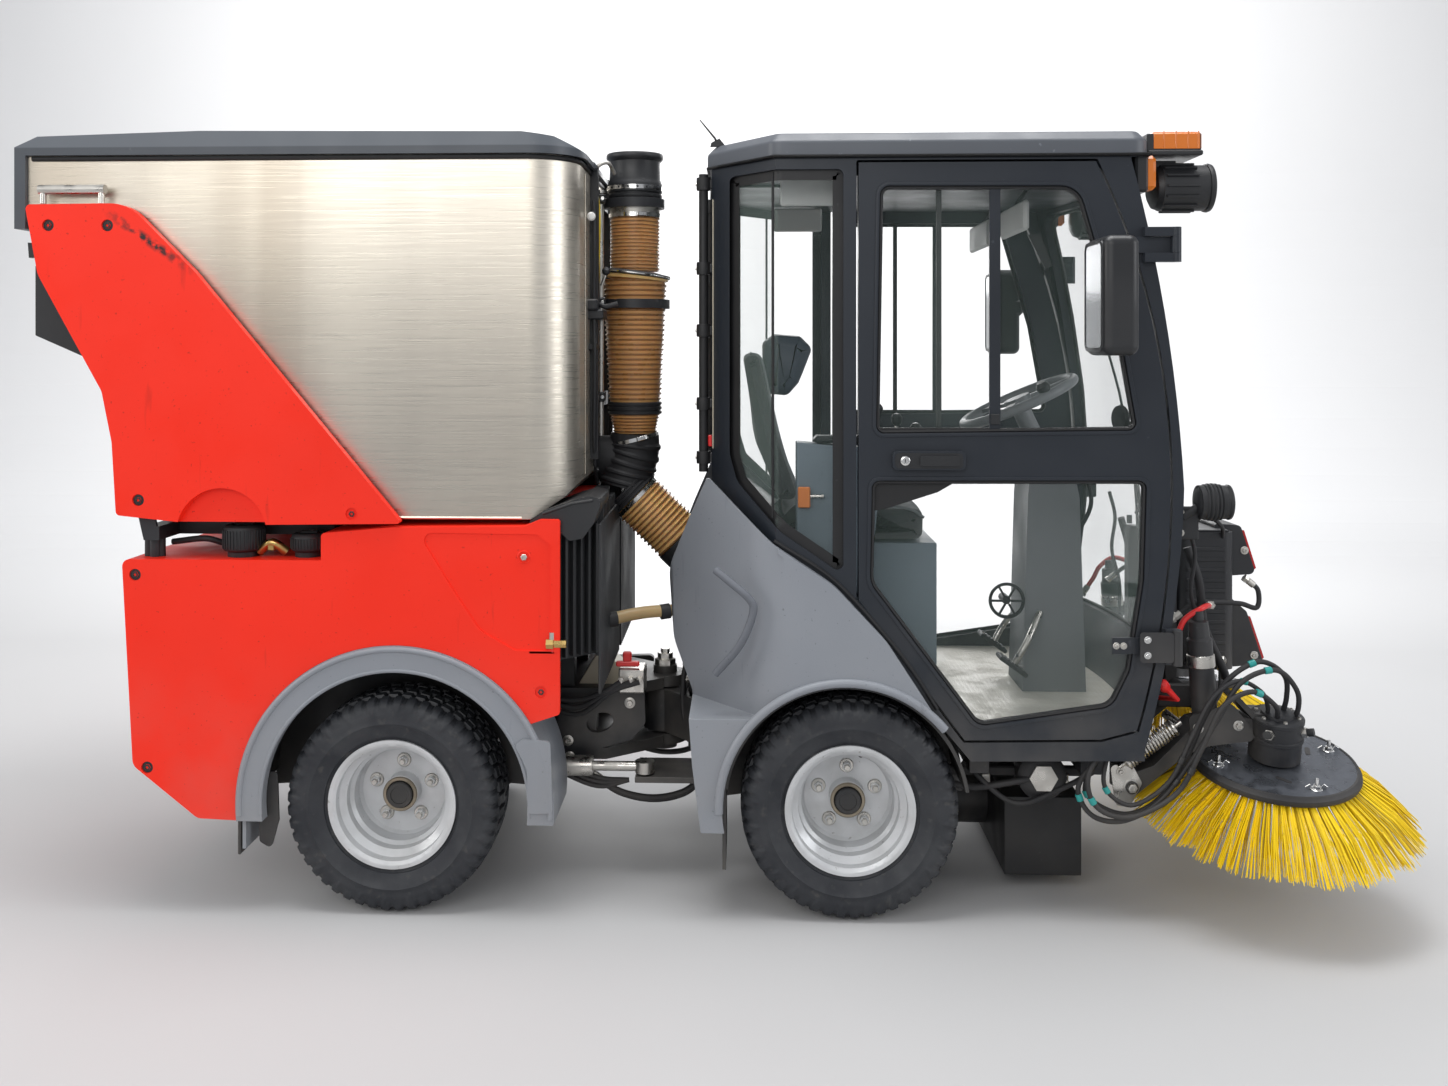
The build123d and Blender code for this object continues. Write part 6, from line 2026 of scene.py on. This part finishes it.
def front_skin_x(y, z):
    """How far forward the cab's bulged front lies at a width and a height."""
    heights = (0.64, 0.78, 0.93, 1.08, 1.3, 1.53, 1.7, 1.905)
    edges = (1.107, 1.138, 1.155, 1.162, 1.146, 1.112, 1.079, 1.03)
    edge, centre = float(np.interp(z, heights, edges)), -0.6
    radius = hypot(edge - centre, 0.5)
    return centre + sqrt(max(0.0, radius**2 - y**2))


wheels()
suction_hose()
water_line()
hand_hose()
elbow_boot()
brushes()
trim = [seal_rubber, cab_paint, black_plastic, bright_steel, zinc]
on_sides("door_trim", door_trim, "door_{side}", trim)
on_sides("hinge_plate", hinge_plate, "door_{side}", [frame_paint, bright_steel])
on_sides("mirror_trim", mirror_trim, "door_{side}", [black_plastic, mirror_glass, zinc])
on_sides("arm_gear", arm_gear, "arm_{side}", [zinc, frame_paint, black_plastic, yellow_paint])
brush_hoses()
seat()


def draw_piece(name, draw, body, materials, both=True):
    """Draws a piece on the left, and on both sides where both is set."""
    shape = Shape()
    draw(shape)
    return build(name, shape, body, materials, both=both)


draw_piece(
    "cab_trim", cab_trim, "front", [seal_rubber, zinc, brass, cream_plastic, red_paint]
)
draw_piece("panel_trim", panel_trim, "front", [seal_rubber, grey_skin, crease_painted_shade])
draw_piece(
    "roof_parts", roof_parts, "front",
    [black_plastic, clear_lens, amber_lens, bright_steel, zinc]
)
draw_piece("antenna", antenna, "front", [black_plastic], False)
draw_piece(
    "interior", interior, "front", [black_plastic, visor_grey, zinc, orange_paint], False
)
draw_piece("front_gear", front_gear, "front", [rubber, red_paint, frame_paint, zinc, red_paint])
draw_piece("front_wells", front_wells, "front", [black_plastic])
draw_piece("nose_panels", nose_panels, "front", [red_lens, black_plastic, frame_paint], False)
draw_piece("front_joint_gear", front_joint_gear, "front", [rubber, zinc])
draw_piece("cab_seals", cab_seals, "front", [seal_rubber], False)
transfer_cables()
caps = draw_piece(
    "rear_trim", rear_trim, "rear",
    [black_plastic, grey_skin, brass, white_plastic, orange_skin, zinc]
)
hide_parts("filler_caps")
draw_piece("engine_cap", engine_cap, "rear", [black_plastic])
draw_piece("wing_cup", wing_cup, "hopper", [wing_skin])
draw_piece("wheel_wells", wheel_wells, "rear", [black_plastic])
draw_piece(
    "joint_gear", joint_gear, "rear", [rubber, zinc, red_paint, cream_plastic, brass], False
)
draw_piece("rear_end", rear_end, "rear", [black_plastic, zinc], False)
draw_piece("rear_lights", rear_lights, "rear", [red_lens, amber_lens, black_plastic])
draw_piece(
    "hopper_gear", hopper_gear, "hopper",
    [frame_paint, zinc, bright_steel, yellow_paint, white_plastic], False
)
draw_piece("hopper_seams", hopper_seams, "hopper", [seal_rubber, steel], False)
draw_piece("tail_trim", tail_trim, "hopper", [black_plastic, zinc], False)


# Studio


def studio():
    """Pale floor that curves up behind, painted darker on the floor and paler up the backdrop as painted
    shade and light, and soft lights above and on both sides.
    """
    floor = Shape()
    half, back, rise = 14.0, 5.0, 3.0
    profile = [(-9.0, 0.0), (back, 0.0)]
    profile += [
        (back + rise * sin(a), rise - rise * cos(a)) for a in np.linspace(0.1, pi / 2, 14)
    ]
    profile.append((back + rise, 9.0))
    for low, high in zip(profile, profile[1:]):
        floor.add(
            [
                (-half, low[0], low[1]), (half, low[0], low[1]), (half, high[0], high[1]),
                (-half, high[0], high[1])
            ],
            [(0, 1, 2, 3)],
        )
    paper = Finish("studio_paper", (0.5, 0.5, 0.502), 0.8)
    depth = paper.node("SeparateXYZ", Vector=paper.coords).outputs["Y"]
    # painted shade and light: the paper runs from darker on the floor to paler up the wall behind
    paper.tint(paper.spread(depth, 2.5, 6.2), (0.8, 0.8, 0.8))
    paper.tint(paper.noise(1.2, 2, low=0.3, high=0.8), (0.66, 0.66, 0.665), 0.08)
    mesh = bpy.data.meshes.new("studio_floor")
    mesh.from_pydata(floor.points, [], floor.faces)
    mesh.materials.append(paper.material)
    piece = bpy.data.objects.new("studio_floor", mesh)
    bpy.context.scene.collection.objects.link(piece)

    world = bpy.data.worlds.new("studio_world")
    bpy.context.scene.world = world
    world.use_nodes = True
    sky = world.node_tree.nodes["Background"]
    sky.inputs["Color"].default_value = (0.93, 0.95, 1.0, 1)
    sky.inputs["Strength"].default_value = 0.5
    lights = (
        ("top_soft", (0.2, -0.6, 5.2), (0, 0, 0.8), 4.0, 2.2, 205, (1, 1, 1)),
        ("front_soft", (-1.5, -5.4, 3.4), (-0.2, 0, 0.9), 4.6, 2.6, 95, (1, 0.99, 0.97)),
        ("nose_soft", (5.2, -2.4, 2.4), (1.0, 0, 0.8), 2.4, 2.8, 70, (0.97, 0.98, 1)),
        ("tail_soft", (-5.2, -1.6, 2.6), (-1.2, 0, 0.9), 2.4, 2.8, 70, (1, 0.98, 0.95)),
        ("back_soft", (0.3, 4.6, 3.0), (0, 0, 1.0), 5.0, 2.6, 120, (1, 1, 1)),
        ("wall_wash", (0.0, 3.4, 5.6), (0, 8.2, 2.4), 8.0, 1.5, 400, (1, 1, 1)),
    )
    for name, place, target, width, height, power, colour in lights:
        data = bpy.data.lights.new(name, "AREA")
        data.shape = "RECTANGLE"
        data.size, data.size_y = width, height
        data.energy = power
        data.color = colour
        lamp = bpy.data.objects.new(name, data)
        lamp.location = place
        lamp.rotation_euler = (Vector(target) - Vector(place)).to_track_quat("-Z", "Y").to_euler()
        bpy.context.scene.collection.objects.link(lamp)


def camera():
    """Level camera on the vehicle's right, its frame shifted down to the floor."""
    data = bpy.data.cameras.new("camera")
    data.lens = 32.32
    data.sensor_width = 36
    data.shift_x = 0.0216
    data.shift_y = -0.133
    data.clip_end = 60
    made = bpy.data.objects.new("camera", data)
    made.location = (0.08, -3.75, 1.42)
    made.rotation_euler = (radians(90), 0, radians(2.3))
    bpy.context.scene.collection.objects.link(made)
    bpy.context.scene.camera = made
    bpy.context.scene.view_settings.view_transform = "Standard"


studio()
camera()
